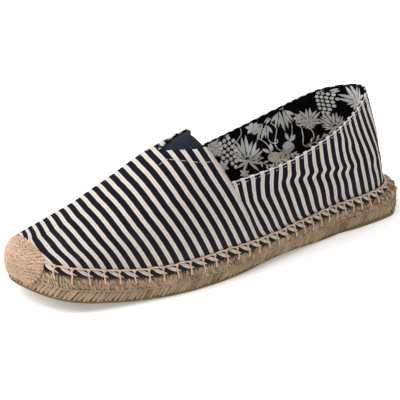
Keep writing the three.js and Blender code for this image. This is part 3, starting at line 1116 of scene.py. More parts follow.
@dataclass(frozen=True)
class Jute(Finish):
    """Natural jute: straw-coloured fibres that lie along each strand."""

    name: str = "jute"
    straw: Colour = (0.40, 0.285, 0.180)
    pale: Colour = (0.58, 0.45, 0.325)
    dark: Colour = (0.15, 0.088, 0.045)
    dust: Colour = (0.11, 0.075, 0.04)
    dust_share: float = 0.25
    fibre_pitch: float = 0.16

    def colour_and_relief(self, bench: Bench) -> tuple[Socket, Socket]:
        """Builds fibres along the strand, a tint for each strand, and dust. A high tint, as on the core,
        darkens the jute as painted shade in the pits between strands.
        """
        way = bench.cloth_way()
        fibres = bench.noise(bench.stretched(way, (0.35, 1 / self.fibre_pitch / 3, 1.0)), 1.0, 3.0)
        streak = bench.span(fibres, 0.35, 0.68)
        place = bench.place()
        patch = bench.tool(Tool.MOTTLE, place, 70.0)
        colour = bench.blend(streak, self.straw, self.pale)
        # Tint: random tone on each strand, and painted shade on the core that shows in the pits.
        shade = bench.times_plus(bench.tint(), 0.55, bench.times(patch, 0.25))
        colour = bench.blend(shade, colour, self.dark)
        soil = bench.tool(Tool.SOIL, place, 0.02)
        colour = bench.blend(bench.times(soil, self.dust_share), colour, self.dust)
        return colour, bench.bump(fibres, 0.35)


@dataclass(frozen=True)
class CapYarn(Finish):
    """Peach yarn that fades to straw low on the toe."""

    name: str = "cap_yarn"
    sheen: float = 0.05
    peach: Colour = (0.76, 0.56, 0.43)
    straw: Colour = (0.60, 0.44, 0.31)
    # groove_shade: painted shade in the yarn's grooves and between the stitches.
    groove_shade: Colour = (0.36, 0.225, 0.145)
    fade_low: float = 0.021
    fade_high: float = 0.034
    lay: float = 1.1

    def colour_and_relief(self, bench: Bench) -> tuple[Socket, Socket]:
        """Builds twisted yarn, peach above and straw below, with painted shade in the twist's grooves and,
        where a piece's tint is high, on the shell between the stitches.
        """
        way = bench.cloth_way()
        place = bench.place()
        height = bench.parts(place)[2]
        patches = bench.noise(place, 160.0, 3.0)
        raised = bench.times_plus(patches, 0.008, bench.maths("SUBTRACT", height, 0.004))
        colour = bench.blend(bench.span(raised, self.fade_low, self.fade_high), self.straw, self.peach)
        twist = bench.tool(Tool.TWIST, way, self.lay, 1.6)
        # Painted shade: the twist's grooves, and the shell's high tint, darken the yarn; each stitch's own
        # tint is random tone.
        shade = bench.times_plus(bench.tint(), 0.42, bench.span(twist, 0.0, 0.7, 0.28, 0.0))
        return bench.blend(shade, colour, self.groove_shade), bench.bump(twist, 0.12)


@dataclass(frozen=True)
class Thread(Finish):
    """A sewing thread."""

    name: str = "seam_thread"
    sheen: float = 0.05
    colour: Colour = (0.74, 0.53, 0.40)
    shade: Colour = (0.36, 0.22, 0.14)
    lay: float = 1.4

    def colour_and_relief(self, bench: Bench) -> tuple[Socket, Socket]:
        """Builds a thread with fine twisted fibres."""
        way = bench.cloth_way()
        twist = bench.tool(Tool.TWIST, way, self.lay, 1.0)
        mottle = bench.tool(Tool.MOTTLE, bench.place(), 240.0)
        shade = bench.times_plus(mottle, 0.25, bench.span(twist, 0.0, 0.6, 0.2, 0.0))
        return bench.blend(shade, self.colour, self.shade), bench.bump(twist, 0.06)


@dataclass(frozen=True)
class InsoleCloth(Finish):
    """The plain natural cloth over the insole."""

    name: str = "insole_cloth"
    colour: Colour = (0.52, 0.42, 0.29)
    # worn: the colour of wear, also used for the painted shade between the threads.
    worn: Colour = (0.30, 0.23, 0.15)

    def colour_and_relief(self, bench: Bench) -> tuple[Socket, Socket]:
        """Builds a coarse plain weave, a little darker where it is worn, and darker between its threads as
        painted shade.
        """
        way = bench.cloth_way()
        weave = bench.tool(Tool.WEAVE, way, 0.9)
        worn = bench.tool(Tool.MOTTLE, way, 0.05)
        # Painted shade between the threads, added to the wear, darkens towards the worn colour.
        shade = bench.times_plus(worn, 0.4, bench.span(weave, 0.0, 0.6, 0.3, 0.0))
        return bench.blend(shade, self.colour, self.worn), bench.bump(weave, 0.15)


@dataclass(frozen=True)
class TreadRubber(Finish):
    """Matt olive-brown moulded rubber."""

    name: str = "rubber"
    roughness: float = 0.62
    specular: float = 0.3
    colour: Colour = (0.105, 0.062, 0.020)
    scuffed: Colour = (0.19, 0.13, 0.06)

    def colour_and_relief(self, bench: Bench) -> tuple[Socket, Socket]:
        """Builds rubber with a fine grain and scuffs."""
        place = bench.place()
        scuffs = bench.tool(Tool.MOTTLE, bench.stretched(place, (1.0, 0.3, 1.0)), 120.0)
        grain = bench.noise(place, 1400.0)
        colour = bench.blend(bench.times(scuffs, 0.6), self.colour, self.scuffed)
        return colour, bench.bump(grain, 0.05)


# ---- the sole ----


@dataclass(frozen=True)
class RingWay:
    """Distances round the sole at the canvas's foot, from the heel and outer side first."""

    last: Last = LAST
    steps: int = 12

    @cached_property
    def table(self) -> tuple[Array, Array]:
        """The ring rows, and the distance round to each."""
        rows = np.linspace(0, len(self.last.ring), len(self.last.ring) * self.steps + 1)
        points = np.array([self.last.foot(row) for row in rows])
        lengths = run_lengths(points)
        return rows, lengths

    @property
    def total(self) -> float:
        """The whole way round."""
        return float(self.table[1][-1])

    def row(self, length: float) -> float:
        """The ring row at a distance round. A distance below 0 is on the inner side, and so is its row."""
        rows, lengths = self.table
        if length < 0:
            return float(np.interp(length + self.total, lengths, rows)) - len(self.last.ring)
        return float(np.interp(length, lengths, rows))

    def length(self, row: float) -> float:
        """The distance round at a ring row. A row below 0 is on the inner side, and so is its distance."""
        rows, lengths = self.table
        if row < 0:
            return float(np.interp(row + len(self.last.ring), rows, lengths)) - self.total
        return float(np.interp(row, rows, lengths))


WAY = RingWay()


def ring_cloth(levels: Sequence[Level], steps: int = 6) -> Cloth:
    """Makes a closed band round the sole.

    Args:
        levels: For each level, bottom to top, the point at a ring row.
        steps: How many columns there are to a ring row.

    Returns:
        The band.
    """
    count = len(LAST.ring)
    rows = np.linspace(count, 0, count * steps + 1)
    points = np.array([[level(row % count) for level in levels] for row in rows])
    round_way = np.repeat([[WAY.length(row)] for row in rows], len(levels), axis=1)
    return Cloth(points, np.stack([round_way, climbs(points)], axis=-1))


def plate_cloth(level: Level, across_steps: int = 14, steps: int = 6) -> Cloth:
    """Makes a plate across the sole, from the points of a level on its two sides."""
    count = len(LAST.ring)
    rows = np.linspace(0, LAST.toe_row, LAST.toe_row * steps + 1)
    shares = np.linspace(0, 1, across_steps + 1)
    sides = [(level(count - row), level(row)) for row in rows]
    points = np.array([[inner * (1 - share) + outer * share for share in shares] for inner, outer in sides])
    return Cloth(points, points[..., :2].copy())


def closed_slab(name: str, levels: Sequence[Level]) -> bpy.types.Object:
    """Makes a closed solid from levels round the sole, bottom to top."""
    band = grid_piece(name, ring_cloth(levels))
    top = grid_piece("top", plate_cloth(levels[-1]))
    bottom = grid_piece("bottom", plate_cloth(levels[0]), inside_out=True)
    slab = join(name, [band, top, bottom])
    weld(slab)
    choose(slab)
    bpy.ops.object.shade_smooth_by_angle(angle=math.radians(50))
    return slab


def level_at(
    edge: Callable[[float, float], tuple[float, float]], inset: float, height: Callable[[float], float]
) -> Level:
    """Makes a level round the sole.

    Args:
        edge: The last's outline that it follows.
        inset: How far it is set in from that outline.
        height: Its height, worked out from the along.

    Returns:
        The level, which gives its point at a ring row.
    """

    def point(ring_row: float) -> Array:
        """The level's point at a ring row."""
        along, across = edge(ring_row, inset)
        return LAST.place(along, across, height(along))

    return point


@dataclass(frozen=True)
class RubberTread:
    """The thin rubber under the sole, with a rounded lip."""

    lip: float = 0.35
    inset: float = 0.5

    def level(self, inset: float, lift: float) -> Level:
        """Gives a level of the rubber, set in from the outline and lifted off its underside."""
        return level_at(LAST.flared_edge, inset, lambda along: LAST.underside(along) + lift)

    def build(self) -> None:
        """Makes the tread."""
        lip, inset, top = self.lip, self.inset, LAST.rubber
        levels = [
            self.level(inset + lip, 0.02),
            self.level(inset + 0.1, lip * 0.4),
            self.level(inset, lip * 1.4),
            self.level(inset, top - 0.2),
            self.level(inset + 0.2, top),
        ]
        tread = closed_slab("rubber_tread", levels)
        finish_piece(tread, TreadRubber().material(), "rubber", "outsole")


@dataclass(frozen=True)
class StrandRow:
    """One row of the plait: its height, its lean and the size of its strands."""

    length: float
    width: float
    thickness: float
    rise: float = 1.0
    lean: float = 0.0
    pitch: float = 1.0
    stand: float = 0.0


@dataclass(frozen=True)
class JuteSole:
    """The plaited jute sole: a core, three rows of strands, a cord in the groove and stray fibres."""

    core_inset: float = 1.0
    groove: float = 0.7
    rows: tuple[StrandRow, ...] = (
        StrandRow(rise=0.18, lean=50, length=9.2, width=2.6, thickness=1.8, pitch=2.7, stand=-0.5),
        StrandRow(rise=0.60, lean=-64, length=5.2, width=1.7, thickness=1.5, pitch=1.7, stand=-0.5),
        StrandRow(rise=0.82, lean=-72, length=5.0, width=1.7, thickness=1.5, pitch=1.7, stand=-0.6),
    )
    row_scatter: tuple[float, ...] = (5, 24, 24)
    cord_rise: float = 0.43
    cord_radius: float = 0.62
    cord_lay: float = 2.6
    top_strand: StrandRow = StrandRow(lean=24, length=7, width=2.6, thickness=1.7, pitch=3.4)
    # The core shows in the pits between the strands; its high tint darkens it there as painted shade.
    core_pit_shade: float = 1.1
    cord_tint: float = 0.15
    fibres: int = 1500
    fibre_radius: float = 0.055
    seed: int = 11

    def core_level(self, rise: float, extra: float) -> Level:
        """Gives a level of the core's side."""
        return lambda ring_row: LAST.side_point(ring_row, rise, -self.core_inset - extra)

    def core(self) -> bpy.types.Object:
        """Makes the core."""
        levels = [
            self.core_level(0, 0.8),
            self.core_level(0.12, 0),
            self.core_level(0.30, 0),
            self.core_level(0.45, self.groove),
            self.core_level(0.60, 0),
            self.core_level(0.85, 0),
            self.core_level(1, 0.2),
            level_at(LAST.foot_edge, 3.1, lambda along: LAST.shelf(along) + 0.3),
            level_at(LAST.foot_edge, 5.3, lambda along: LAST.sole_top(along) - LAST.sole_top_drop),
        ]
        return closed_slab("jute_core", levels)

    def strand_model(self, row: StrandRow) -> bpy.types.Object:
        """Shapes one strand from a sphere: a long bead along X, flattened on Z."""
        deselect()
        bpy.ops.mesh.primitive_uv_sphere_add(segments=8, ring_count=7, radius=1)
        strand = bpy.context.object
        size = (row.length / 2, row.width / 2, row.thickness / 2)
        with editing(strand):
            bpy.ops.transform.rotate(value=math.pi / 2, orient_axis="Y", center_override=(0, 0, 0))
            bpy.ops.transform.resize(value=size, center_override=(0, 0, 0))
        self.lay_pattern(strand, row)
        return strand

    def lay_pattern(self, strand: bpy.types.Object, row: StrandRow) -> None:
        """Lays the strand's pattern along and round it, with its seam at the back."""
        layer = strand.data.uv_layers[0]
        layer.name = CLOTH_UV
        for loop in strand.data.loops:
            x, y, z = strand.data.vertices[loop.vertex_index].co
            layer.data[loop.index].uv = (x, math.atan2(y, z) * row.width / 2)

    def strands(self, row: StrandRow, scatter_angle: float, chance: random.Random) -> bpy.types.Object:
        """Lays one row of strands round the side, each turned at random within an angle."""
        model = self.strand_model(row)
        count = round(WAY.total / row.pitch)
        places = []
        tints = []
        for index in range(count):
            ring_row = WAY.row((index + chance.uniform(-0.12, 0.12)) * WAY.total / count)
            rise = row.rise + chance.uniform(-0.002, 0.002) * scatter_angle
            position = LAST.side_point(ring_row, rise, row.stand + chance.uniform(-0.25, 0.2))
            ahead = unit(LAST.side_point(ring_row + 0.05, rise) - LAST.side_point(ring_row - 0.05, rise))
            lean = math.radians(row.lean + chance.uniform(-scatter_angle, scatter_angle))
            way = -ahead * math.cos(lean) * math.copysign(1, lean)
            way = way + np.array([0, 0, abs(math.sin(lean))])
            place = axes_place(position, way, LAST.outward(ring_row))
            scale = chance.uniform(0.9, 1.12)
            places.append(place @ Matrix.Diagonal((chance.uniform(0.92, 1.06), scale, scale, 1)))
            tints.append(chance.uniform(0, 1) ** 1.6)
        return scatter("strands", model, places, tints)

    def ledge_strands(self, chance: random.Random) -> bpy.types.Object:
        """Lays strands flat on the ledge behind the heel, pointing out from it."""
        row = self.top_strand
        model = self.strand_model(row)
        places = []
        tints = []
        reach = WAY.length(3)
        count = round(2 * reach / row.pitch)
        for index in range(count):
            ring_row = WAY.row(lerp(-reach, reach, (index + 0.5) / count))
            along, across = LAST.foot_edge(ring_row, 0.2)
            position = LAST.place(along, across, LAST.shelf(along) + 0.15)
            out = LAST.outward(ring_row)
            ahead = np.array([-out[1], out[0], 0])
            lean = math.radians(row.lean + chance.uniform(-8, 8))
            way = out * math.cos(lean) + ahead * math.sin(lean)
            places.append(axes_place(position, way, np.array([0, 0, 1.0]) + out * 0.25))
            tints.append(chance.uniform(0, 1) ** 1.6)
        return scatter("ledge", model, places, tints)

    def cord(self, chance: random.Random) -> bpy.types.Object:
        """Lays the cord that binds the plait along its groove."""
        lengths = np.arange(0, WAY.total, 4.0)
        rises = [self.cord_rise + chance.uniform(-0.02, 0.02) for _ in lengths]
        path = [LAST.side_point(WAY.row(length), rise, -0.2) for length, rise in zip(lengths, rises)]
        plies = plied(curve_through([*path, path[0]], 4), self.cord_radius, self.cord_lay)
        return tubes("cord", plies, self.cord_radius * PLY_SHARE, 6)

    def stray_fibres(self, chance: random.Random) -> bpy.types.Object:
        """Lets fine fibres stand off the plait."""
        paths = []
        for _ in range(self.fibres):
            ring_row = chance.uniform(0, len(LAST.ring))
            rise = chance.uniform(0.04, 1.0)
            out = LAST.outward(ring_row)
            ahead = np.array([-out[1], out[0], 0]) * chance.choice((-1, 1))
            way = unit(ahead + out * chance.uniform(0.1, 0.7) + np.array([0, 0, chance.uniform(-0.8, 0.8)]))
            length = chance.uniform(1.5, 5.0) * chance.choice((1, 1, 1, 1.7))
            start = LAST.side_point(ring_row, rise, -0.1)
            curl = unit(np.array([chance.gauss(0, 1), chance.gauss(0, 1), chance.gauss(0, 1)]))
            shares = np.linspace(0, 1, 5)[:, None]
            path = start + way * shares * length + curl * shares**2 * length * 0.4
            along = LAST.along_of(path)
            floor = np.array([LAST.underside(value) for value in along]) + 0.3
            path[:, 2] = np.maximum(path[:, 2], floor)
            paths.append(path)
        return tubes("jute_fibres", paths, self.fibre_radius, sides=3, taper=0.4)

    def build(self) -> None:
        """Makes the sole."""
        chance = random.Random(self.seed)
        core = self.core()
        set_tint(core, self.core_pit_shade)
        rows = [self.strands(row, angle, chance) for row, angle in zip(self.rows, self.row_scatter)]
        cord = self.cord(chance)
        set_tint(cord, self.cord_tint)
        plait = join("jute_plait", [*rows, self.ledge_strands(chance), cord])
        material = Jute().material()
        finish_piece(core, material, "jute", "jute_sole")
        finish_piece(plait, material, "jute", "jute_sole")
        strays = self.stray_fibres(chance)
        pale = Jute(name="jute_fibre", straw=(0.52, 0.40, 0.28), dark=(0.30, 0.21, 0.13)).material()
        set_tint(strays, np.repeat([chance.uniform(0, 0.7) for _ in range(self.fibres)], 15))
        finish_piece(strays, pale, "jute", "jute_sole")


@dataclass(frozen=True)
class Insole:
    """The plain cloth-covered insole."""

    inset: float = 6.4
    thickness: float = 2.0

    def level(self, inset: float, lift: float) -> Level:
        """Gives a level of the insole, lifted off the jute."""
        rest = LAST.gap - LAST.sole_top_drop + lift
        return level_at(LAST.foot_edge, inset, lambda along: LAST.sole_top(along) + rest)

    def build(self) -> None:
        """Makes the insole."""
        inset, top = self.inset, self.thickness
        levels = [self.level(inset, 0), self.level(inset, top - 0.6), self.level(inset + 0.6, top)]
        finish_piece(closed_slab("insole_sock", levels), InsoleCloth().material(), "insole_cloth", "insole")


# ---- the upper ----


class Crease(NamedTuple):
    """A soft trough in the canvas along a path of alongs and heights, or a ridge where depth is below 0."""

    side: int
    path: tuple[tuple[float, float], ...]
    width: float
    depth: float


CREASES = (
    Crease(LATERAL, ((95, 45.5), (77, 42.0), (57, 39.0), (42, 35.0)), 2.4, 0.9),
    Crease(LATERAL, ((92, 50.0), (74, 47.0), (54, 44.0), (40, 40)), 2.8, -0.8),
    Crease(LATERAL, ((90, 36), (70, 32), (50, 29)), 5.0, -0.5),
    Crease(LATERAL, ((48, 62), (34, 52), (22, 38)), 4.0, -1.1),
    Crease(LATERAL, ((38, 52), (26, 42), (18, 32)), 3.4, 0.8),
    Crease(LATERAL, ((18, 68), (13, 50), (9, 40)), 3.0, 0.7),
    Crease(LATERAL, ((112, 46), (118, 26)), 4.0, 0.6),
    Crease(LATERAL, ((150, 60), (136, 34)), 7.0, 0.5),
    Crease(LATERAL, ((205, 38), (196, 24)), 6.0, 0.5),
    Crease(MEDIAL, ((76, 40), (52, 40), (30, 43)), 3.2, 1.4),
    Crease(MEDIAL, ((66, 48), (48, 48), (34, 51)), 4.5, -0.8),
    Crease(MEDIAL, ((24, 60), (14, 34)), 3.0, 0.8),
    Crease(MEDIAL, ((100, 48), (94, 28)), 5.0, 0.7),
    Crease(MEDIAL, ((150, 58), (140, 34)), 7.0, 0.6),
    Crease(MEDIAL, ((205, 38), (192, 26)), 6.0, 0.6),
)


def path_distance(spots: Array, path: Sequence[tuple[float, float]]) -> Array:
    """Finds how far spots are from a path, all as alongs and heights."""
    nearest = np.full(spots.shape[:-1], np.inf)
    for start, end in zip(path[:-1], path[1:]):
        reach = np.subtract(end, start)
        share = np.clip(((spots - start) @ reach) / (reach @ reach), 0, 1)
        nearest = np.minimum(nearest, np.linalg.norm(spots - start - share[..., None] * reach, axis=-1))
    return nearest


def creased(cloth: Cloth) -> Cloth:
    """Presses the creases into a sheet, and lets it undulate a little."""
    points = cloth.points
    along = LAST.along_of(points)
    height = points[..., 2]
    sink = 0.16 * np.sin(along / 9.1 + height / 7.3) * np.sin(along / 23.0 - height / 13.7 + 1.1)
    spots = np.stack([along, height], axis=-1)
    for crease in CREASES:
        on_side = points[..., 0] * crease.side > -2
        away = path_distance(spots, crease.path) / crease.width
        sink = sink + on_side * crease.depth * np.exp(-(away**2))
    rise = cloth.points[..., 2] - np.array([[LAST.sole_top(value) for value in line] for line in along])
    sink = sink * np.clip(rise / 4.0, 0, 1)
    return Cloth(points - cloth.normals * sink[..., None], cloth.pattern, cloth.closes_on_spine)


@dataclass(frozen=True)
class Notch:
    """The V over the instep, as seen from above: its foot, the tips beside it and how far its edges bow."""

    foot_along: float = 165.0
    foot_across: float = 2.0
    lateral_tip: tuple[float, float] = (141.5, 18.3)
    medial_tip: tuple[float, float] = (136.0, -10.5)
    lateral_bow: float = 3.6
    medial_bow: float = 1.2

    def edge_across(self, side: int, along: Array) -> Array:
        """How far across an edge of the V is, at each along behind its foot."""
        tip_along, tip_across = self.lateral_tip if side == LATERAL else self.medial_tip
        bow = self.lateral_bow if side == LATERAL else self.medial_bow
        share = (self.foot_along - along) / (self.foot_along - tip_along)
        return lerp(self.foot_across, tip_across, share) + side * bow * 4 * share * (1 - share)

    def rib_end(self, side: int, handles: Array) -> float:
        """How far up a rib the V's edge cuts it, or 1 where it reaches the spine."""
        shares = np.linspace(0.4, 1, 241)
        points = bezier(handles, shares)
        along = LAST.along_of(points)
        beyond = side * (points[:, 0] - self.edge_across(side, along))
        inside = (along < self.foot_along) & (beyond < 0)
        if not inside.any():
            return 1.0
        first = int(np.argmax(inside))
        if first == 0 or beyond[first - 1] < 0:
            return float(shares[first])
        part = beyond[first - 1] / (beyond[first - 1] - beyond[first])
        return float(lerp(shares[first - 1], shares[first], part))


class FoldRow(NamedTuple):
    """Where the quarter's fold runs, and how far it moves the stripes towards the toe."""

    round_way: float
    share: float
    jog: float
    top: float


FOLD = (
    FoldRow(0, 0.42, 0, 0),
    FoldRow(20, 0.42, 0.5, 4.6),
    FoldRow(35, 0.42, 0.2, 3.7),
    FoldRow(45, 0.37, -1.2, 2.4),
    FoldRow(55, 0.43, -1.4, -0.2),
    FoldRow(68, 0.53, -1.3, -0.7),
    FoldRow(81, 0.62, -1.5, -2.1),
    FoldRow(93, 0.68, -1.1, -3.1),
    FoldRow(102, 0.60, -0.2, -4.2),
    FoldRow(113, 0.56, -0.1, -5.1),
    FoldRow(128, 0.56, -0.1, -4.7),
)


@dataclass(frozen=True)
class StripePlan:
    """Where the stripes run: their lean on the vamp, and their spacing and fold on the quarters."""

    pitch: float = 6.87
    vamp_anchor: float = 247.6
    vamp_lean: float = 0.415
    quarter_pitch: float = 6.37
    quarter_zero: float = 62.0
    foot_pull: float = -1.2
    foot_share: float = 0.08
    fold_half: float = 0.035
    margin_slant: float = 0.7
    drift_shares: tuple[float, ...] = (0.5, 0.65, 0.85, 1.0, 1.25, 1.6)
    drifts: tuple[float, ...] = (0.0, 1.1, 3.1, 4.6, 8.4, 13.0)

    def vamp(self, side: int, points: Array, shares: Array) -> Array:
        """The stripe coordinate up a vamp's rib: 0 in the middle of a dark stripe."""
        along = LAST.along_of(points)
        top = np.array([LAST.sole_top(value) for value in along])
        across = shares if side == LATERAL else 2 - shares
        drift = np.interp(across, self.drift_shares, self.drifts)
        return along - self.vamp_lean * (points[:, 2] - top) - self.vamp_anchor + drift

    def quarter(self, ring_row: float, shares: Array) -> Array:
        """The stripe coordinate up a quarter's rib."""
        length = WAY.length(ring_row)
        rounds, folds, jogs, tops = np.array(FOLD).T
        fold, jog, top = (float(np.interp(abs(length), rounds, column)) for column in (folds, jogs, tops))
        stops = (0, self.foot_share, fold - self.fold_half, fold + self.fold_half, 0.93)
        pull = self.foot_pull * smoothstep(abs(length), 35, 60)
        sway = np.interp(shares, stops, (pull, 0, 0, jog, top)) * math.copysign(1, length)
        return (length - sway - self.quarter_zero) / self.quarter_pitch * self.pitch


STRIPES = StripePlan()


@dataclass(frozen=True)
class UpperCloths:
    """The sheets that the canvas, the lining and the gusset are cut from."""

    notch: Notch = Notch()
    steps: int = 12
    vamp_rows: int = 44
    quarter_rows: int = 60
    lap: float = 0.22
    lap_step: float = 0.55

    def vamp_column(self, side: int, toe_share: float, notched: bool) -> tuple[Array, Array]:
        """Finds a column of the vamp.

        Args:
            side: LATERAL or MEDIAL.
            toe_share: 0 at the seam and 1 at the toe.
            notched: True where the V is cut out.

        Returns:
            Its points, and their pattern: the stripe coordinate, and the distance from the spine.
        """
        handles = LAST.vamp_rib(side, toe_share)
        end = self.notch.rib_end(side, handles) if notched else 1.0
        shares = np.linspace(0, end, self.vamp_rows)
        points = bezier(handles, shares)
        whole = bezier(handles, np.linspace(0, 1, 60))
        length = float(np.linalg.norm(np.diff(whole, axis=0), axis=1).sum())
        climb = run_lengths(points)
        return points, np.stack([STRIPES.vamp(side, points, shares), side * (length - climb)], axis=-1)

    def vamp(self, notched: bool = True) -> Cloth:
        """The vamp, from the inner seam round the toe to the outer seam."""
        reach = (LAST.toe_row - LAST.seam_row) * self.steps
        columns = []
        patterns = []
        for index in range(-reach, reach + 1):
            side = MEDIAL if index < 0 else LATERAL
            points, pattern = self.vamp_column(side, 1 - abs(index) / reach, notched)
            columns.append(points)
            patterns.append(pattern)
        return creased(Cloth(np.array(columns), np.array(patterns), closes_on_spine=True))

    def quarter(self) -> Cloth:
        """The quarters, from the outer seam round the heel to the inner seam, with a lap at each end."""
        shares = np.linspace(0, 1, self.quarter_rows)
        reach = LAST.seam_row * self.steps
        columns = []
        stripes = []
        for index in range(reach + 1, -reach - 2, -1):
            if abs(index) > reach:
                side = LATERAL if index > 0 else MEDIAL
                toe_share = self.lap / (LAST.toe_row - LAST.seam_row)
                handles = bezier_start(LAST.vamp_rib(side, toe_share), LAST.corner_share)
                ring_row = side * (LAST.seam_row + self.lap)
            else:
                ring_row = index / self.steps
                handles = LAST.quarter_rib(ring_row)
            columns.append(bezier(handles, shares))
            stripes.append(STRIPES.quarter(ring_row, shares))
        points = np.array(columns)
        pattern = np.stack([np.array(stripes), climbs(points)], axis=-1)
        return creased(Cloth(points, pattern)).shifted(-self.lap_step)


CLOTHS = UpperCloths()


def part_of(cloth: Cloth, columns: slice) -> Cloth:
    """Cuts columns out of a sheet."""
    return Cloth(cloth.points[columns], cloth.pattern[columns])


class StitchLine(NamedTuple):
    """A line of running stitches: how far below an edge, and the stitches' length and pitch."""

    drop: float
    length: float
    pitch: float


@dataclass(frozen=True)
class CanvasUpper:
    """The striped canvas: vamp, quarters, hems, margin and topstitches."""

    thickness: float = 1.05
    hem_radius: float = 0.62
    hem_drop: float = 0.35
    light_stripe: float = 3.4
    first_hem_row: int = 8
    stitch_proud: float = 0.1
    stitch_radius: float = 0.15
    collar_stitch: StitchLine = StitchLine(drop=2.4, length=1.6, pitch=3.1)
    notch_stitch: StitchLine = StitchLine(drop=10.0, length=2.6, pitch=3.7)
    binding: StitchLine = StitchLine(drop=0.4, length=6.4, pitch=6.9)
    binding_radius: float = 0.32
    margin_columns: int = 560
    margin_end: float = 2.2
    fray_count: int = 34
    fray_radius: float = 0.14

    def vamp(self) -> bpy.types.Object:
        """Makes the vamp with its V."""
        piece = grid_piece("canvas_vamp", CLOTHS.vamp())
        weld(piece)
        thicken(piece, self.thickness)
        return piece

    def quarters(self) -> bpy.types.Object:
        """Makes the quarters."""
        piece = grid_piece("canvas_quarters", CLOTHS.quarter())
        thicken(piece, self.thickness)
        return piece

    def hem(self, name: str, path: Array, stripes: Array) -> bpy.types.Object:
        """Rolls a striped hem along an edge.

        Args:
            name: The piece's name.
            path: The edge.
            stripes: The stripe coordinate at each of its points.

        Returns:
            The hem.
        """
        sides = 8
        piece = tubes(name, [path], self.hem_radius, sides)
        around = np.tile(np.arange(sides) * 0.5, len(path))
        pattern = np.stack([np.repeat(stripes, sides), around], axis=1)
        write_pattern(piece.data, piece.data.uv_layers[0], pattern)
        return piece

    def hems(self) -> bpy.types.Object:
        """Makes the hems of the collar, the flaps' rear edges and the V."""
        sunk = -self.thickness / 2
        quarter = CLOTHS.quarter()
        inner = quarter.shifted(sunk)
        drop = np.array([0, 0, self.hem_drop])
        vamp = CLOTHS.vamp()
        middle = vamp.shifted(sunk)
        hems = [self.hem("collar_hem", inner.points[:, -1] - drop, quarter.pattern[:, -1, 0])]
        count = self.notched_columns(vamp)
        for column, span in ((0, slice(0, count)), (-1, slice(-count, None))):
            rear = middle.points[column, self.first_hem_row :]
            hems.append(self.hem("flap_hem", rear, np.full(len(rear), self.light_stripe)))
            hems.append(self.hem("notch_hem", middle.points[span, -1], vamp.pattern[span, -1, 0]))
        return join("canvas_hems", hems)

    def notched_columns(self, vamp: Cloth) -> int:
        """How many columns at each end of the vamp the V cuts."""
        meets = np.linalg.norm(vamp.points[::-1, -1] - vamp.points[:, -1], axis=-1) < 0.05
        return int(np.argmax(meets)) + 1

    def stitch_line(self, path: Array, line: StitchLine, step_length: float = 0.45) -> list[Array]:
        """Cuts a line of running stitches out of a path.

        Args:
            path: Where the line runs.
            line: Its stitches.
            step_length: The distance between the points of a stitch.

        Returns:
            The stitches' paths.
        """
        even = resample(path, step_length)
        per_stitch = max(int(round(line.length / step_length)), 2)
        step = max(int(round(line.pitch / step_length)), per_stitch + 1)
        return [even[start : start + per_stitch + 1] for start in range(0, len(even) - per_stitch, step)]

    def topstitches(self) -> bpy.types.Object:
        """Sews the topstitches: below the collar and beside the V."""
        quarter = CLOTHS.quarter().shifted(self.stitch_proud)
        stitches = self.stitch_line(self.level_below(quarter, self.collar_stitch.drop), self.collar_stitch)
        vamp = CLOTHS.vamp().shifted(self.stitch_proud)
        count = self.notched_columns(vamp) + 3
        for span in (slice(0, count), slice(-count, None)):
            path = self.level_below(part_of(vamp, span), self.notch_stitch.drop)
            stitches += self.stitch_line(path, self.notch_stitch)
        return tubes("canvas_topstitches", stitches, self.stitch_radius, 5)

    def collar_binding(self) -> bpy.types.Object:
        """Runs the pale edge of the fold round the collar's outer side."""
        collar = CLOTHS.quarter().shifted(self.stitch_proud).points[:, -1]
        edge = collar - np.array([0, 0, self.binding.drop])
        return tubes("collar_binding", self.stitch_line(edge, self.binding), self.binding_radius, 6)

    def level_below(self, cloth: Cloth, drop: float) -> Array:
        """Finds the path that runs a distance below a sheet's top edge."""
        path = []
        for column in cloth.points:
            down = column[::-1]
            lengths = run_lengths(down)
            path.append(at_lengths(down, lengths, drop))
        return np.array(path)

    def margin(self) -> bpy.types.Object:
        """Makes the margin folded over the jute, puckered between the blanket stitches."""
        stations = BLANKET.stations
        start, end = stations[0] + self.margin_end, stations[-1] - self.margin_end
        lengths = np.linspace(start, end, self.margin_columns)
        cells = np.interp(lengths, stations[::-1], np.arange(len(stations))[::-1])
        shares = np.linspace(0, 1, 8)
        points = []
        pattern = []
        for length, cell in zip(lengths, cells):
            ring_row = WAY.row(length)
            low, high = LAST.skirt_edge(ring_row), LAST.foot(ring_row)
            out = LAST.outward(ring_row)
            pucker = math.sin(math.pi * (cell % 1)) ** 2
            column = []
            for share in shares:
                bulge = math.sin(math.pi * min(share * 0.85 + 0.15, 1))
                point = low + (high - low) * share + out * bulge * (0.35 + 0.5 * pucker)
                column.append(point + np.array([0, 0, 0.5 * (1 - pucker) * (1 - share)]))
            points.append(column)
            slant = (shares - 1) * STRIPES.margin_slant
            pattern.append(np.stack([(cell + slant + 0.1) * STRIPES.pitch, shares * 4.5], axis=-1))
        piece = grid_piece("canvas_margin", Cloth(np.array(points), np.array(pattern)))
        thicken(piece, self.thickness * 0.8)
        return piece

    def frays(self) -> bpy.types.Object:
        """Leaves loose yarns at the V's foot and along its inner flap."""
        chance = random.Random(5)
        vamp = CLOTHS.vamp()
        count = self.notched_columns(vamp)
        edge = vamp.points[:count, -1]
        paths = []
        for _ in range(self.fray_count):
            share = chance.uniform(0.0, 1.0)
            start = edge[int(share * (count - 1))]
            spread = ((-0.6, 0.9), (-0.9, 0.9), (0.2, 1.0))
            way = unit(np.array([chance.uniform(*ends) for ends in spread]))
            side = unit(np.array([chance.gauss(0, 1), chance.gauss(0, 1), chance.gauss(0, 0.5)]))
            length = chance.uniform(0.9, 2.4)
            shares = np.linspace(0, 1, 5)[:, None]
            paths.append(start + way * shares * length + side * shares**2 * length * 0.5)
        return tubes("frays", paths, self.fray_radius, 4, taper=0.6)

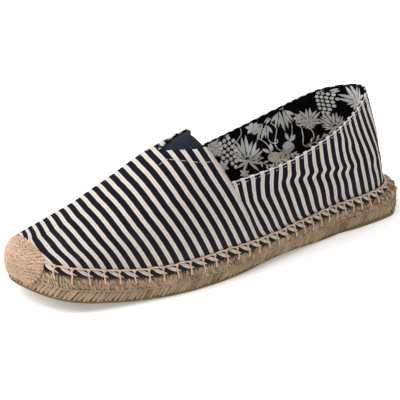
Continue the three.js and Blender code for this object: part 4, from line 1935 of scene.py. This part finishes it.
    def build(self) -> None:
        """Makes the canvas pieces."""
        canvas = StripedCanvas().material()
        for piece in (self.vamp(), self.quarters(), self.hems(), self.margin()):
            finish_piece(piece, canvas, "striped_canvas", "upper")
        thread = Thread(name="topstitch_thread", colour=(0.72, 0.68, 0.63), shade=(0.38, 0.36, 0.34))
        white = thread.material()
        finish_piece(self.topstitches(), white, "seam_thread", "upper")
        finish_piece(self.collar_binding(), white, "striped_canvas", "upper")
        finish_piece(self.frays(), white, "striped_canvas", "upper")


@dataclass(frozen=True)
class ElasticGusset:
    """The elastic web under the V."""

    depth: float = 1.75
    thickness: float = 1.0
    margin_share: float = 0.10
    behind_foot: int = 6

    def build(self) -> None:
        """Makes the gusset from the vamp's own ribs, between the edges of the V."""
        reach = (LAST.toe_row - LAST.seam_row) * CLOTHS.steps
        notch = CLOTHS.notch
        columns = []
        pattern = []
        for index in range(0, reach):
            toe_share = index / reach
            ribs = {side: LAST.vamp_rib(side, toe_share) for side in (LATERAL, MEDIAL)}
            ends = {side: notch.rib_end(side, handles) for side, handles in ribs.items()}
            if ends[LATERAL] >= 1 and ends[MEDIAL] >= 1 and index > self.behind_foot + 12:
                break
            low = {side: max(end - self.margin_share, 0.4) for side, end in ends.items()}
            up = bezier(ribs[MEDIAL], np.linspace(low[MEDIAL], 1, 25))
            down = bezier(ribs[LATERAL], np.linspace(1, low[LATERAL], 25))
            column = np.concatenate([up, down[1:]])
            columns.append(column)
            climb = run_lengths(column)
            along = np.full(len(climb), LAST.along_of(column).mean())
            pattern.append(np.stack([climb - climb[24], along], axis=-1))
        web = Cloth(np.array(columns), np.array(pattern)).shifted(-self.depth)
        piece = grid_piece("elastic_web", web)
        thicken(piece, self.thickness)
        finish_piece(piece, ElasticWeb().material(), "elastic_web", "elastic_gusset")


# ---- the lining and its print ----


class Motif(Enum):
    """The figures of the lining's print."""

    GRAPES = "grapes"
    VINE_LEAF = "vine leaf"
    LILY = "lily"
    BELL = "bell"
    ROSETTE = "rosette"
    DROOPING_LEAF = "drooping leaf"
    SPRIG = "sprig"
    TENDRIL = "tendril"


class Figure(NamedTuple):
    """One figure: which, where on the lining, how large and how far it is turned, in degrees."""

    motif: Motif
    along: float
    height: float
    size: float
    turn: float


INNER_WALL = (
    Figure(Motif.GRAPES, 95.5, 45.5, 1.0, -12),
    Figure(Motif.LILY, 82.5, 39.0, 1.0, 6),
    Figure(Motif.ROSETTE, 84.5, 29.0, 0.62, 20),
    Figure(Motif.DROOPING_LEAF, 69.0, 53.0, 0.85, 28),
    Figure(Motif.ROSETTE, 77.0, 57.0, 0.75, 50),
    Figure(Motif.BELL, 62.5, 37.0, 0.95, 160),
    Figure(Motif.BELL, 51.0, 41.5, 0.95, 205),
    Figure(Motif.TENDRIL, 60.5, 48.0, 1.1, 90),
    Figure(Motif.TENDRIL, 65.5, 50.0, 0.9, 60),
    Figure(Motif.SPRIG, 53.5, 34.0, 0.9, 100),
    Figure(Motif.DROOPING_LEAF, 54.5, 58.0, 1.0, -8),
    Figure(Motif.ROSETTE, 45.0, 57.5, 0.6, 35),
    Figure(Motif.VINE_LEAF, 36.5, 53.5, 0.92, 4),
    Figure(Motif.TENDRIL, 42.0, 45.0, 1.0, 82),
    Figure(Motif.SPRIG, 33.0, 39.5, 0.9, 75),
    Figure(Motif.GRAPES, 28.5, 65.0, 0.85, 12),
    Figure(Motif.LILY, 21.5, 49.5, 0.75, -25),
    Figure(Motif.TENDRIL, 89.0, 52.0, 0.9, 120),
    Figure(Motif.ROSETTE, 102.0, 38.0, 0.7, 10),
    Figure(Motif.SPRIG, 72.0, 34.0, 0.8, 140),
    Figure(Motif.VINE_LEAF, 108.0, 50.0, 0.8, 30),
    Figure(Motif.TENDRIL, 24.0, 36.0, 0.9, 40),
)
HEEL_WALL = (
    Figure(Motif.DROOPING_LEAF, 7.0, 62.0, 1.15, 24),
    Figure(Motif.VINE_LEAF, -9.0, 66.5, 1.15, 20),
    Figure(Motif.LILY, 0.0, 50.0, 1.0, 0),
    Figure(Motif.SPRIG, -14.0, 44.0, 0.9, 60),
    Figure(Motif.ROSETTE, 10.0, 70.0, 0.8, 0),
)
OUTER_WALL = tuple(figure._replace(along=118.0 - figure.along, turn=-figure.turn) for figure in INNER_WALL)


def petal(
    length: float, width: float, turn: float, at: tuple[float, float] = (0, 0), tip: float = 0.5
) -> Array:
    """Draws a petal.

    Args:
        length: From its root to its tip.
        width: At its widest.
        turn: Which way it points, in degrees from straight up.
        at: Its root.
        tip: Where it is widest, as a share of its length.

    Returns:
        Its outline.
    """
    shares = np.linspace(0, 1, 8)
    power = math.log(0.5) / math.log(tip)
    half = width / 2 * np.sin(math.pi * shares**power) ** 0.8
    right = np.stack([half, shares * length], 1)
    left = np.stack([-half, shares * length], 1)[-2:0:-1]
    return np.concatenate([right, left]) @ spun(turn).T + np.array(at)


def berry(x: float, y: float, radius: float) -> Array:
    """Draws a berry's outline."""
    angles = np.linspace(0, 2 * math.pi, 11)[:-1]
    return np.stack([x + radius * np.cos(angles), y + radius * 0.92 * np.sin(angles)], axis=1)


def stem(points: Sequence[tuple[float, float]], width: float) -> list[Array]:
    """Draws a stem as short straight strips along a smooth line."""
    line = curve_through([np.array([*point, 0.0]) for point in points], 4)[:, :2]
    strips = []
    for start, end in zip(line[:-1], line[1:]):
        across = unit(np.array([start[1] - end[1], end[0] - start[0]])) * width / 2
        strips.append(np.array([start - across, end - across, end + across, start + across]))
    return strips


def split_petal(length: float, width: float, turn: float, at: tuple[float, float] = (0, 0)) -> list[Array]:
    """Draws a petal as two narrow halves with a dark vein between them."""
    half = width * 0.46
    angle = math.radians(turn)
    aside = (math.cos(angle) * width * 0.27, -math.sin(angle) * width * 0.27)
    right = (at[0] + aside[0], at[1] + aside[1])
    left = (at[0] - aside[0], at[1] - aside[1])
    return [petal(length, half, turn, right), petal(length * 0.94, half, turn, left)]


def draw_grapes() -> list[Array]:
    """Draws a bunch of grapes, narrowing downwards, with two small leaves at its stalk."""
    shapes = []
    for level, count in enumerate((4, 5, 4, 4, 3, 2, 1)):
        for place in range(count):
            x = (place - (count - 1) / 2) * 3.5 + (0.5 if level % 2 else -0.4)
            shapes.append(berry(x, 8.2 - level * 3.15, 1.48))
    return shapes + split_petal(7, 3.4, -62, (-2, 10)) + split_petal(7, 3.2, 58, (2.5, 10))


def draw_vine_leaf() -> list[Array]:
    """Draws a five-lobed leaf from split petals, with a stalk."""
    shapes = []
    lobes = ((0, 11, 5), (44, 11.5, 4.6), (-42, 11.5, 4.6), (92, 10, 4.4), (-94, 10.5, 4.6))
    for turn, length, width in lobes:
        shapes += split_petal(length, width, turn)
        shapes += [petal(length * 0.55, 1.5, turn + 18), petal(length * 0.55, 1.5, turn - 18)]
    for turn in (140, -140, 178):
        shapes += split_petal(6.5, 3.6, turn)
    return shapes + stem([(0, -5), (1.5, -9), (0.5, -13)], 0.7)


def draw_lily() -> list[Array]:
    """Draws a lily seen from the side, with its buds spread below it."""
    shapes = split_petal(16, 5.0, 0, (0.3, -1)) + split_petal(14, 4.6, -24, (-1, -1))
    shapes += split_petal(13, 4.4, 28, (1, -1))
    shapes += split_petal(11, 3.8, 52, (1.5, -2)) + split_petal(10.5, 3.6, -52, (-1.5, -2))
    for turn in (76, -78, 112, -112, 145, -142):
        shapes.append(petal(10, 1.9, turn, (0, -2.5)))
    return shapes + [berry(0, -2.5, 1.2)]


def draw_bell() -> list[Array]:
    """Draws a bell flower: a round cup with small pointed petals at its mouth."""
    shapes = [petal(10, 8.6, 0, (0, -2), 0.42)]
    for turn in (-38, -14, 14, 38):
        shapes.append(petal(6.5, 2.3, turn, (turn * 0.075, 6.0)))
    shapes += [petal(6, 2.4, 150, (0.5, -2)), petal(6, 2.4, -150, (-0.5, -2))]
    return shapes + stem([(0, -2), (-1.2, -8), (0.8, -14)], 0.6)


def draw_rosette() -> list[Array]:
    """Draws a small open flower."""
    shapes = [petal(6.2, 3.2, turn, (0, 0)) for turn in range(0, 360, 60)]
    return shapes + [berry(0, 0, 1.0)]


def draw_drooping_leaf() -> list[Array]:
    """Draws a long leaf that hangs, with ragged lobes."""
    shapes = split_petal(15, 5.2, 180, (0, 7))
    shapes += split_petal(11, 3.6, 158, (1.5, 6)) + split_petal(11, 3.6, 204, (-1.5, 6))
    return shapes + [petal(8, 2.2, 128, (2, 6)), petal(8, 2.2, -126, (-2, 6))] + split_petal(6, 3, 20, (0, 7))


def draw_sprig() -> list[Array]:
    """Draws a sprig of narrow leaves."""
    shapes = stem([(0, -7), (0.9, 0), (-0.4, 8)], 0.55)
    for level, turn in ((-5, 55), (-3, -58), (0, 50), (2, -52), (5, 40), (6, -36)):
        shapes.append(petal(5.2, 1.7, turn, (0.3, level)))
    return shapes + [petal(5, 1.8, 0, (-0.4, 7.5))]


def draw_tendril() -> list[Array]:
    """Draws a curling tendril."""
    return stem([(-9, -1), (-5, 1.8), (0, 0.6), (5, -1.6), (8.5, 0.4), (8.0, 3.0), (6.2, 2.2)], 0.62)


DRAWINGS: dict[Motif, Callable[[], list[Array]]] = {
    Motif.GRAPES: draw_grapes,
    Motif.VINE_LEAF: draw_vine_leaf,
    Motif.LILY: draw_lily,
    Motif.BELL: draw_bell,
    Motif.ROSETTE: draw_rosette,
    Motif.DROOPING_LEAF: draw_drooping_leaf,
    Motif.SPRIG: draw_sprig,
    Motif.TENDRIL: draw_tendril,
}


@dataclass(frozen=True)
class Lining:
    """The black printed lining, and its print laid on it as thin shapes."""

    quarter_depth: float = 1.25
    vamp_depth: float = 1.15
    thickness: float = 0.3
    print_lift: float = 0.10
    top_margin: float = 0.6

    @cached_property
    def wall(self) -> Cloth:
        """The quarters' inner face, where the print lies."""
        return CLOTHS.quarter().shifted(-self.quarter_depth - self.thickness - self.print_lift)

    @cached_property
    def wall_rounds(self) -> Array:
        """The distance round of each column of the wall, above 0 on the outer side."""
        reach = LAST.seam_row * CLOTHS.steps
        rows = np.clip(np.arange(reach + 1, -reach - 2, -1) / CLOTHS.steps, -LAST.seam_row, LAST.seam_row)
        return np.array([WAY.length(float(row)) for row in rows])

    def locate(self, side: int, along: float, height: float) -> float:
        """Finds the distance round of the rib that has an along at a height, on one side."""
        best = (1e9, 0.0)
        for column, round_way in zip(self.wall.points, self.wall_rounds):
            if round_way * side < 0:
                continue
            level = float(np.interp(height, column[:, 2], LAST.along_of(column)))
            best = min(best, (abs(level - along), float(round_way)))
        return best[1]

    def lay(self, rounds: Array, heights: Array) -> Array:
        """Lays points on the wall.

        Args:
            rounds: Their distances round.
            heights: Their heights.

        Returns:
            The points.
        """
        order = np.argsort(self.wall_rounds)
        columns = np.interp(rounds, self.wall_rounds[order], order.astype(float))
        first = np.clip(np.floor(columns).astype(int), 0, len(order) - 2)
        share = (columns - first)[:, None]
        laid = np.empty((len(rounds), 3))
        for index, (low, part, height) in enumerate(zip(first, share[:, 0], heights)):
            column = self.wall.points[low] * (1 - part) + self.wall.points[low + 1] * part
            level = min(max(height, column[1, 2]), column[-1, 2] - self.top_margin)
            laid[index] = at_lengths(column, column[:, 2], level)
        return laid

    def figure_shapes(self, figure: Figure, side: int) -> list[tuple[Array, Array]]:
        """Draws a figure in the lining's own way.

        Args:
            figure: The figure.
            side: LATERAL, MEDIAL, or 0 for the heel, whose along is a distance round.

        Returns:
            The rounds and heights of each of its shapes.
        """
        centre = figure.along if side == 0 else self.locate(side, figure.along, figure.height)
        turning = spun(figure.turn)
        mirror = -1 if side == LATERAL else 1
        shapes = []
        for outline in DRAWINGS[figure.motif]():
            turned = outline @ turning.T * figure.size
            shapes.append((centre + turned[:, 0] * mirror, figure.height + turned[:, 1]))
        return shapes

    def print_piece(self) -> bpy.types.Object:
        """Lays the whole print."""
        chance = random.Random(23)
        points: list[Array] = []
        faces: list[list[int]] = []
        tints: list[float] = []
        plan = [(figure, MEDIAL) for figure in INNER_WALL] + [(figure, LATERAL) for figure in OUTER_WALL]
        plan += [(figure, 0) for figure in HEEL_WALL]
        for figure, side in plan:
            strength = chance.uniform(0.8, 1.0)
            for rounds, heights in self.figure_shapes(figure, side):
                start = len(tints)
                count = len(rounds)
                rounds = np.append(rounds, rounds.mean())
                heights = np.append(heights, heights.mean())
                points.append(self.lay(rounds, heights))
                bright = strength * chance.uniform(0.72, 1.0)
                tints += [bright * 0.8] * count + [bright]
                middle = start + count
                faces += [[start + index, start + (index + 1) % count, middle] for index in range(count)]
        piece = raw_piece("lining_print", np.concatenate(points), faces, None)
        set_tint(piece, np.array(tints))
        with editing(piece):
            bpy.ops.mesh.normals_make_consistent(inside=False)
        return piece

    def build(self) -> None:
        """Makes the lining and its print."""
        quarter = grid_piece("quarter_lining", CLOTHS.quarter().shifted(-self.quarter_depth), inside_out=True)
        thicken(quarter, self.thickness)
        vamp = grid_piece("vamp_lining", CLOTHS.vamp().shifted(-self.vamp_depth), inside_out=True)
        weld(vamp)
        thicken(vamp, self.thickness)
        ground = PrintedLining().material()
        finish_piece(quarter, ground, "printed_lining", "upper")
        finish_piece(vamp, ground, "printed_lining", "upper")
        finish_piece(self.print_piece(), PrintInk().material(), "printed_lining", "upper")


# ---- the blanket stitch and the toe cap ----


@dataclass(frozen=True)
class BlanketStitch:
    """The peach thread that sews canvas to jute: a chain along the canvas, and loops into the plait."""

    radius: float = 0.48
    heel_pitch: float = 6.3
    pitch_growth: float = 0.0135
    first_along: float = 257.0
    pit_rise: float = 0.78
    lay: float = 2.4
    ply_share: float = 0.62

    @cached_property
    def stations(self) -> Array:
        """The stitches' distances round, from the cap's outer end round the heel to its inner end."""
        rows = np.linspace(LAST.seam_row, LAST.toe_row, 161)
        alongs = [float(LAST.along_of(LAST.foot(row))) for row in rows]
        station = WAY.length(float(np.interp(self.first_along, alongs, rows)))
        inner_end = -station
        found = []
        while station > inner_end:
            found.append(station)
            along = float(LAST.along_of(LAST.foot(WAY.row(station))))
            station -= self.heel_pitch + self.pitch_growth * max(along, 0)
        return np.array(found)

    def on_foot(self, length: float, out: float, lift: float) -> Array:
        """A point beside the canvas's foot."""
        ring_row = WAY.row(length)
        return LAST.foot(ring_row) + LAST.outward(ring_row) * out + np.array([0, 0, lift])

    def loop(self, length: float, chance: random.Random) -> Array:
        """Runs one loop from the chain over the margin and down into the plait."""
        ring_row = WAY.row(length)
        out = LAST.outward(ring_row)
        pit = self.pit_rise + chance.uniform(-0.05, 0.05)
        drift = chance.uniform(-0.5, 0.5)
        low_row = WAY.row(length + drift)
        foot, skirt = LAST.foot(ring_row), LAST.skirt_edge(ring_row)
        path = [
            foot + out * 0.35 + np.array([0, 0, 0.5]),
            foot + out * 1.25 + np.array([0, 0, -0.1]),
            (foot + skirt) / 2 + out * 1.05,
            skirt + out * 0.95,
            LAST.side_point(low_row, 0.9, 0.85),
            LAST.side_point(low_row, (0.9 + pit) / 2, 0.8),
            LAST.side_point(low_row, pit, 0.2),
            LAST.side_point(low_row, pit - 0.06, -1.4),
        ]
        return curve_through(path, 5)

    def link(self, length: float, following: float, chance: random.Random) -> Array:
        """Runs the chain's thread from under one loop to over the next."""
        span = following - length
        sag = chance.uniform(-0.35, 0.3)
        knots = (
            (-0.08, 0.3, -0.9), (0.04, 0.55, -0.2), (0.2, 0.8, 0.35 + sag), (0.5, 0.75, 0.55 + sag),
            (0.8, 0.8, 0.3 + sag * 0.5), (1.0, 1.3, 0.15), (1.1, 1.6, -0.7),
        )
        path = [self.on_foot(length + span * share, out, lift) for share, out, lift in knots]
        return curve_through(path, 5)

    def build(self) -> None:
        """Sews round the shoe."""
        chance = random.Random(3)
        stations = self.stations
        paths = []
        for station in stations:
            paths += plied(self.loop(station, chance), self.radius, self.lay)
        for station, following in zip(stations[:-1], stations[1:]):
            paths += plied(self.link(station, following, chance), self.radius, self.lay)
        sewn = tubes("blanket_stitch", paths, self.radius * self.ply_share, 6)
        finish_piece(sewn, Thread().material(), "seam_thread")


BLANKET = BlanketStitch()


@dataclass(frozen=True)
class ToeCap:
    """The yarn cap: a shell over the toe, covered with rows of small stitches."""

    edge_crown: float = 252.8
    edge_low: float = 260.5
    crown_height: float = 32.0
    low_height: float = 12.0
    stitch_length: float = 2.1
    stitch_width: float = 0.8
    row_pitch: float = 1.3
    columns_share: float = 0.52
    shell_lift: float = 0.75
    shell_thickness: float = 0.7
    # The shell shows between the stitches; its high tint darkens it there as painted shade.
    shell_shade_tint: float = 1.6
    stitch_lift: float = 1.15
    stitch_lean: float = 52.0
    lean_spread: float = 22.0

    def form(self, rows: int = 40, steps: int = 16) -> Cloth:
        """The toe's form: up the jute's side, over the margin and up the canvas."""
        columns = []
        reach = round((1 - self.columns_share) * (LAST.toe_row - LAST.seam_row) * steps)
        for index in range(-reach, reach + 1):
            side = MEDIAL if index < 0 else LATERAL
            toe_share = 1 - abs(index) / steps / (LAST.toe_row - LAST.seam_row)
            ring_row = LAST.vamp_ring(side, toe_share)
            low = [LAST.side_point(ring_row, level.rise) for level in SOLE_SIDE[1:]]
            rib = bezier(LAST.vamp_rib(side, toe_share), np.linspace(0, 1, 14))
            path = curve_through([*low, LAST.skirt_edge(ring_row), *rib[1:]], 4)
            columns.append(resample(path, np.linalg.norm(np.diff(path, axis=0), axis=1).sum() / rows))
        points = np.array(columns)
        return Cloth(points, np.stack([points[..., 0], climbs(points)], axis=-1), closes_on_spine=True)

    def edge_along(self, height: float) -> float:
        """The along of the cap's rear edge at a height."""
        share = (height - self.low_height) / (self.crown_height - self.low_height)
        return lerp(self.edge_low, self.edge_crown, share)

    def shell(self) -> bpy.types.Object:
        """Makes the shell under the stitches, cut straight behind."""
        piece = grid_piece("cap_shell", self.form().shifted(self.shell_lift))
        weld(piece)
        heights = (self.low_height, self.crown_height)
        low, high = (LAST.place(self.edge_along(height), 0, height) * MM for height in heights)
        behind = unit(np.cross(np.array([1.0, 0, 0]), high - low))
        with editing(piece):
            bpy.ops.mesh.bisect(plane_co=low, plane_no=behind, clear_inner=True, clear_outer=False)
        thicken(piece, self.shell_thickness)
        return piece

    def stitch_model(self) -> bpy.types.Object:
        """Shapes one stitch from a sphere: a bead along X."""
        row = StrandRow(length=self.stitch_length, width=self.stitch_width, thickness=1.0)
        return JUTE.strand_model(row)

    def build(self) -> None:
        """Makes the cap."""
        chance = random.Random(17)
        form = self.form(rows=60, steps=24).shifted(self.stitch_lift)
        normals = form.normals
        lengths = form.pattern[len(form.points) // 2, :, 1]
        places = []
        tints = []
        for level in range(1, int(lengths[-1] / self.row_pitch)):
            row = int(np.argmin(np.abs(lengths - level * self.row_pitch)))
            line = form.points[:, row]
            rounds = run_lengths(line)
            count = int(rounds[-1] / (self.stitch_width * 1.25))
            for place in range(count):
                at = (place + 0.5 * (level % 2) + chance.uniform(-0.15, 0.15)) * rounds[-1] / max(count, 1)
                point = at_lengths(line, rounds, at)
                if LAST.along_of(point) < self.edge_along(point[2]) + 0.35:
                    continue
                normal = unit(at_lengths(normals[:, row], rounds, at))
                ahead = unit(at_lengths(line, rounds, at + 0.3) - point + 1e-9)
                climb = np.cross(ahead, normal)
                lean = math.radians(self.stitch_lean + chance.uniform(-self.lean_spread, self.lean_spread))
                way = ahead * math.cos(lean) + climb * math.sin(lean)
                stray = climb * chance.uniform(-0.4, 0.4) + normal * chance.uniform(-0.22, 0.12)
                places.append(axes_place(point + stray, way, normal))
                tints.append(chance.uniform(0, 1))
        yarn = CapYarn().material()
        shell = self.shell()
        set_tint(shell, self.shell_shade_tint)
        finish_piece(shell, yarn, "cap_yarn", "toe_cap")
        stitches = scatter("cap_stitches", self.stitch_model(), places, tints)
        finish_piece(stitches, yarn, "cap_yarn", "toe_cap")


JUTE = JuteSole()


# ---- the studio ----


class Lamp(NamedTuple):
    """A soft square light: its place and size in metres, its power in watts and its colour."""

    name: str
    place: tuple[float, float, float]
    size: float
    power: float
    colour: Colour


LAMPS = (
    Lamp("key", (-0.6, -1.5, 1.5), 1.4, 36, (1.0, 0.985, 0.965)),
    Lamp("top", (-0.5, 0.1, 2.1), 2.4, 22, (1.0, 1.0, 1.0)),
    Lamp("fill", (1.6, -0.9, 0.35), 1.0, 1.5, (1.0, 0.99, 0.97)),
)


@dataclass(frozen=True)
class Studio:
    """A plain pale floor, soft lights and the camera."""

    azimuth: float = 57.12
    elevation: float = 22.77
    roll: float = -1.5
    distance: float = 1.5275
    target: tuple[float, float, float] = (0.0, -0.0042, 0.035)
    lens: float = 228.66
    shift: tuple[float, float] = (-0.0085, -0.00925)
    floor_size: float = 8.0
    floor_glow: float = 0.28
    surround: float = 0.62

    def floor(self) -> None:
        """Lays the floor."""
        deselect()
        bpy.ops.mesh.primitive_plane_add(size=self.floor_size, location=(0, 0, -0.0002))
        floor = bpy.context.object
        floor.name = "floor"
        material = bpy.data.materials.new("floor_paper")
        material.use_nodes = True
        shader = material.node_tree.nodes["Principled BSDF"]
        shader.inputs["Base Color"].default_value = (0.93, 0.93, 0.93, 1)
        shader.inputs["Roughness"].default_value = 0.9
        shader.inputs["Emission Color"].default_value = (1, 0.985, 0.97, 1)
        shader.inputs["Emission Strength"].default_value = self.floor_glow
        floor.data.materials.append(material)

    def light(self, lamp: Lamp) -> None:
        """Hangs a soft square light that points at the shoe."""
        data = bpy.data.lights.new(lamp.name, "AREA")
        data.size, data.energy, data.color = lamp.size, lamp.power, lamp.colour
        hung = bpy.data.objects.new(lamp.name, data)
        hung.location = lamp.place
        hung.rotation_euler = (Vector(self.target) - Vector(lamp.place)).to_track_quat("-Z", "Y").to_euler()
        bpy.context.scene.collection.objects.link(hung)

    def camera(self) -> None:
        """Sets up the camera."""
        azimuth, elevation = math.radians(self.azimuth), math.radians(self.elevation)
        level = math.cos(elevation)
        back = Vector((math.sin(azimuth) * level, -math.cos(azimuth) * level, math.sin(elevation)))
        data = bpy.data.cameras.new("camera")
        data.lens = self.lens
        data.sensor_width = 36
        data.shift_x, data.shift_y = self.shift
        camera = bpy.data.objects.new("camera", data)
        camera.location = Vector(self.target) + back * self.distance
        turn = back.to_track_quat("Z", "Y").to_matrix().to_4x4()
        camera.rotation_euler = (turn @ Matrix.Rotation(math.radians(self.roll), 4, "Z")).to_euler()
        bpy.context.scene.collection.objects.link(camera)
        bpy.context.scene.camera = camera

    def build(self) -> None:
        """Sets up the studio."""
        self.floor()
        for lamp in LAMPS:
            self.light(lamp)
        world = bpy.data.worlds.new("studio")
        world.use_nodes = True
        background = world.node_tree.nodes["Background"]
        background.inputs["Color"].default_value = (1, 1, 1, 1)
        background.inputs["Strength"].default_value = self.surround
        bpy.context.scene.world = world
        bpy.context.scene.view_settings.view_transform = "Standard"
        self.camera()


def main() -> None:
    """Builds the shoe's sub-assemblies in order, and then the studio."""
    logging.basicConfig(level=logging.INFO, format="%(name)s: %(message)s")
    sole = (RubberTread(), JUTE, Insole())
    upper = (CanvasUpper(), ElasticGusset(), Lining(), BLANKET, ToeCap())
    for assembly in (*sole, *upper):
        LOG.info("building %s", type(assembly).__name__)
        assembly.build()
    Studio().build()


if __name__ == "__main__":
    main()
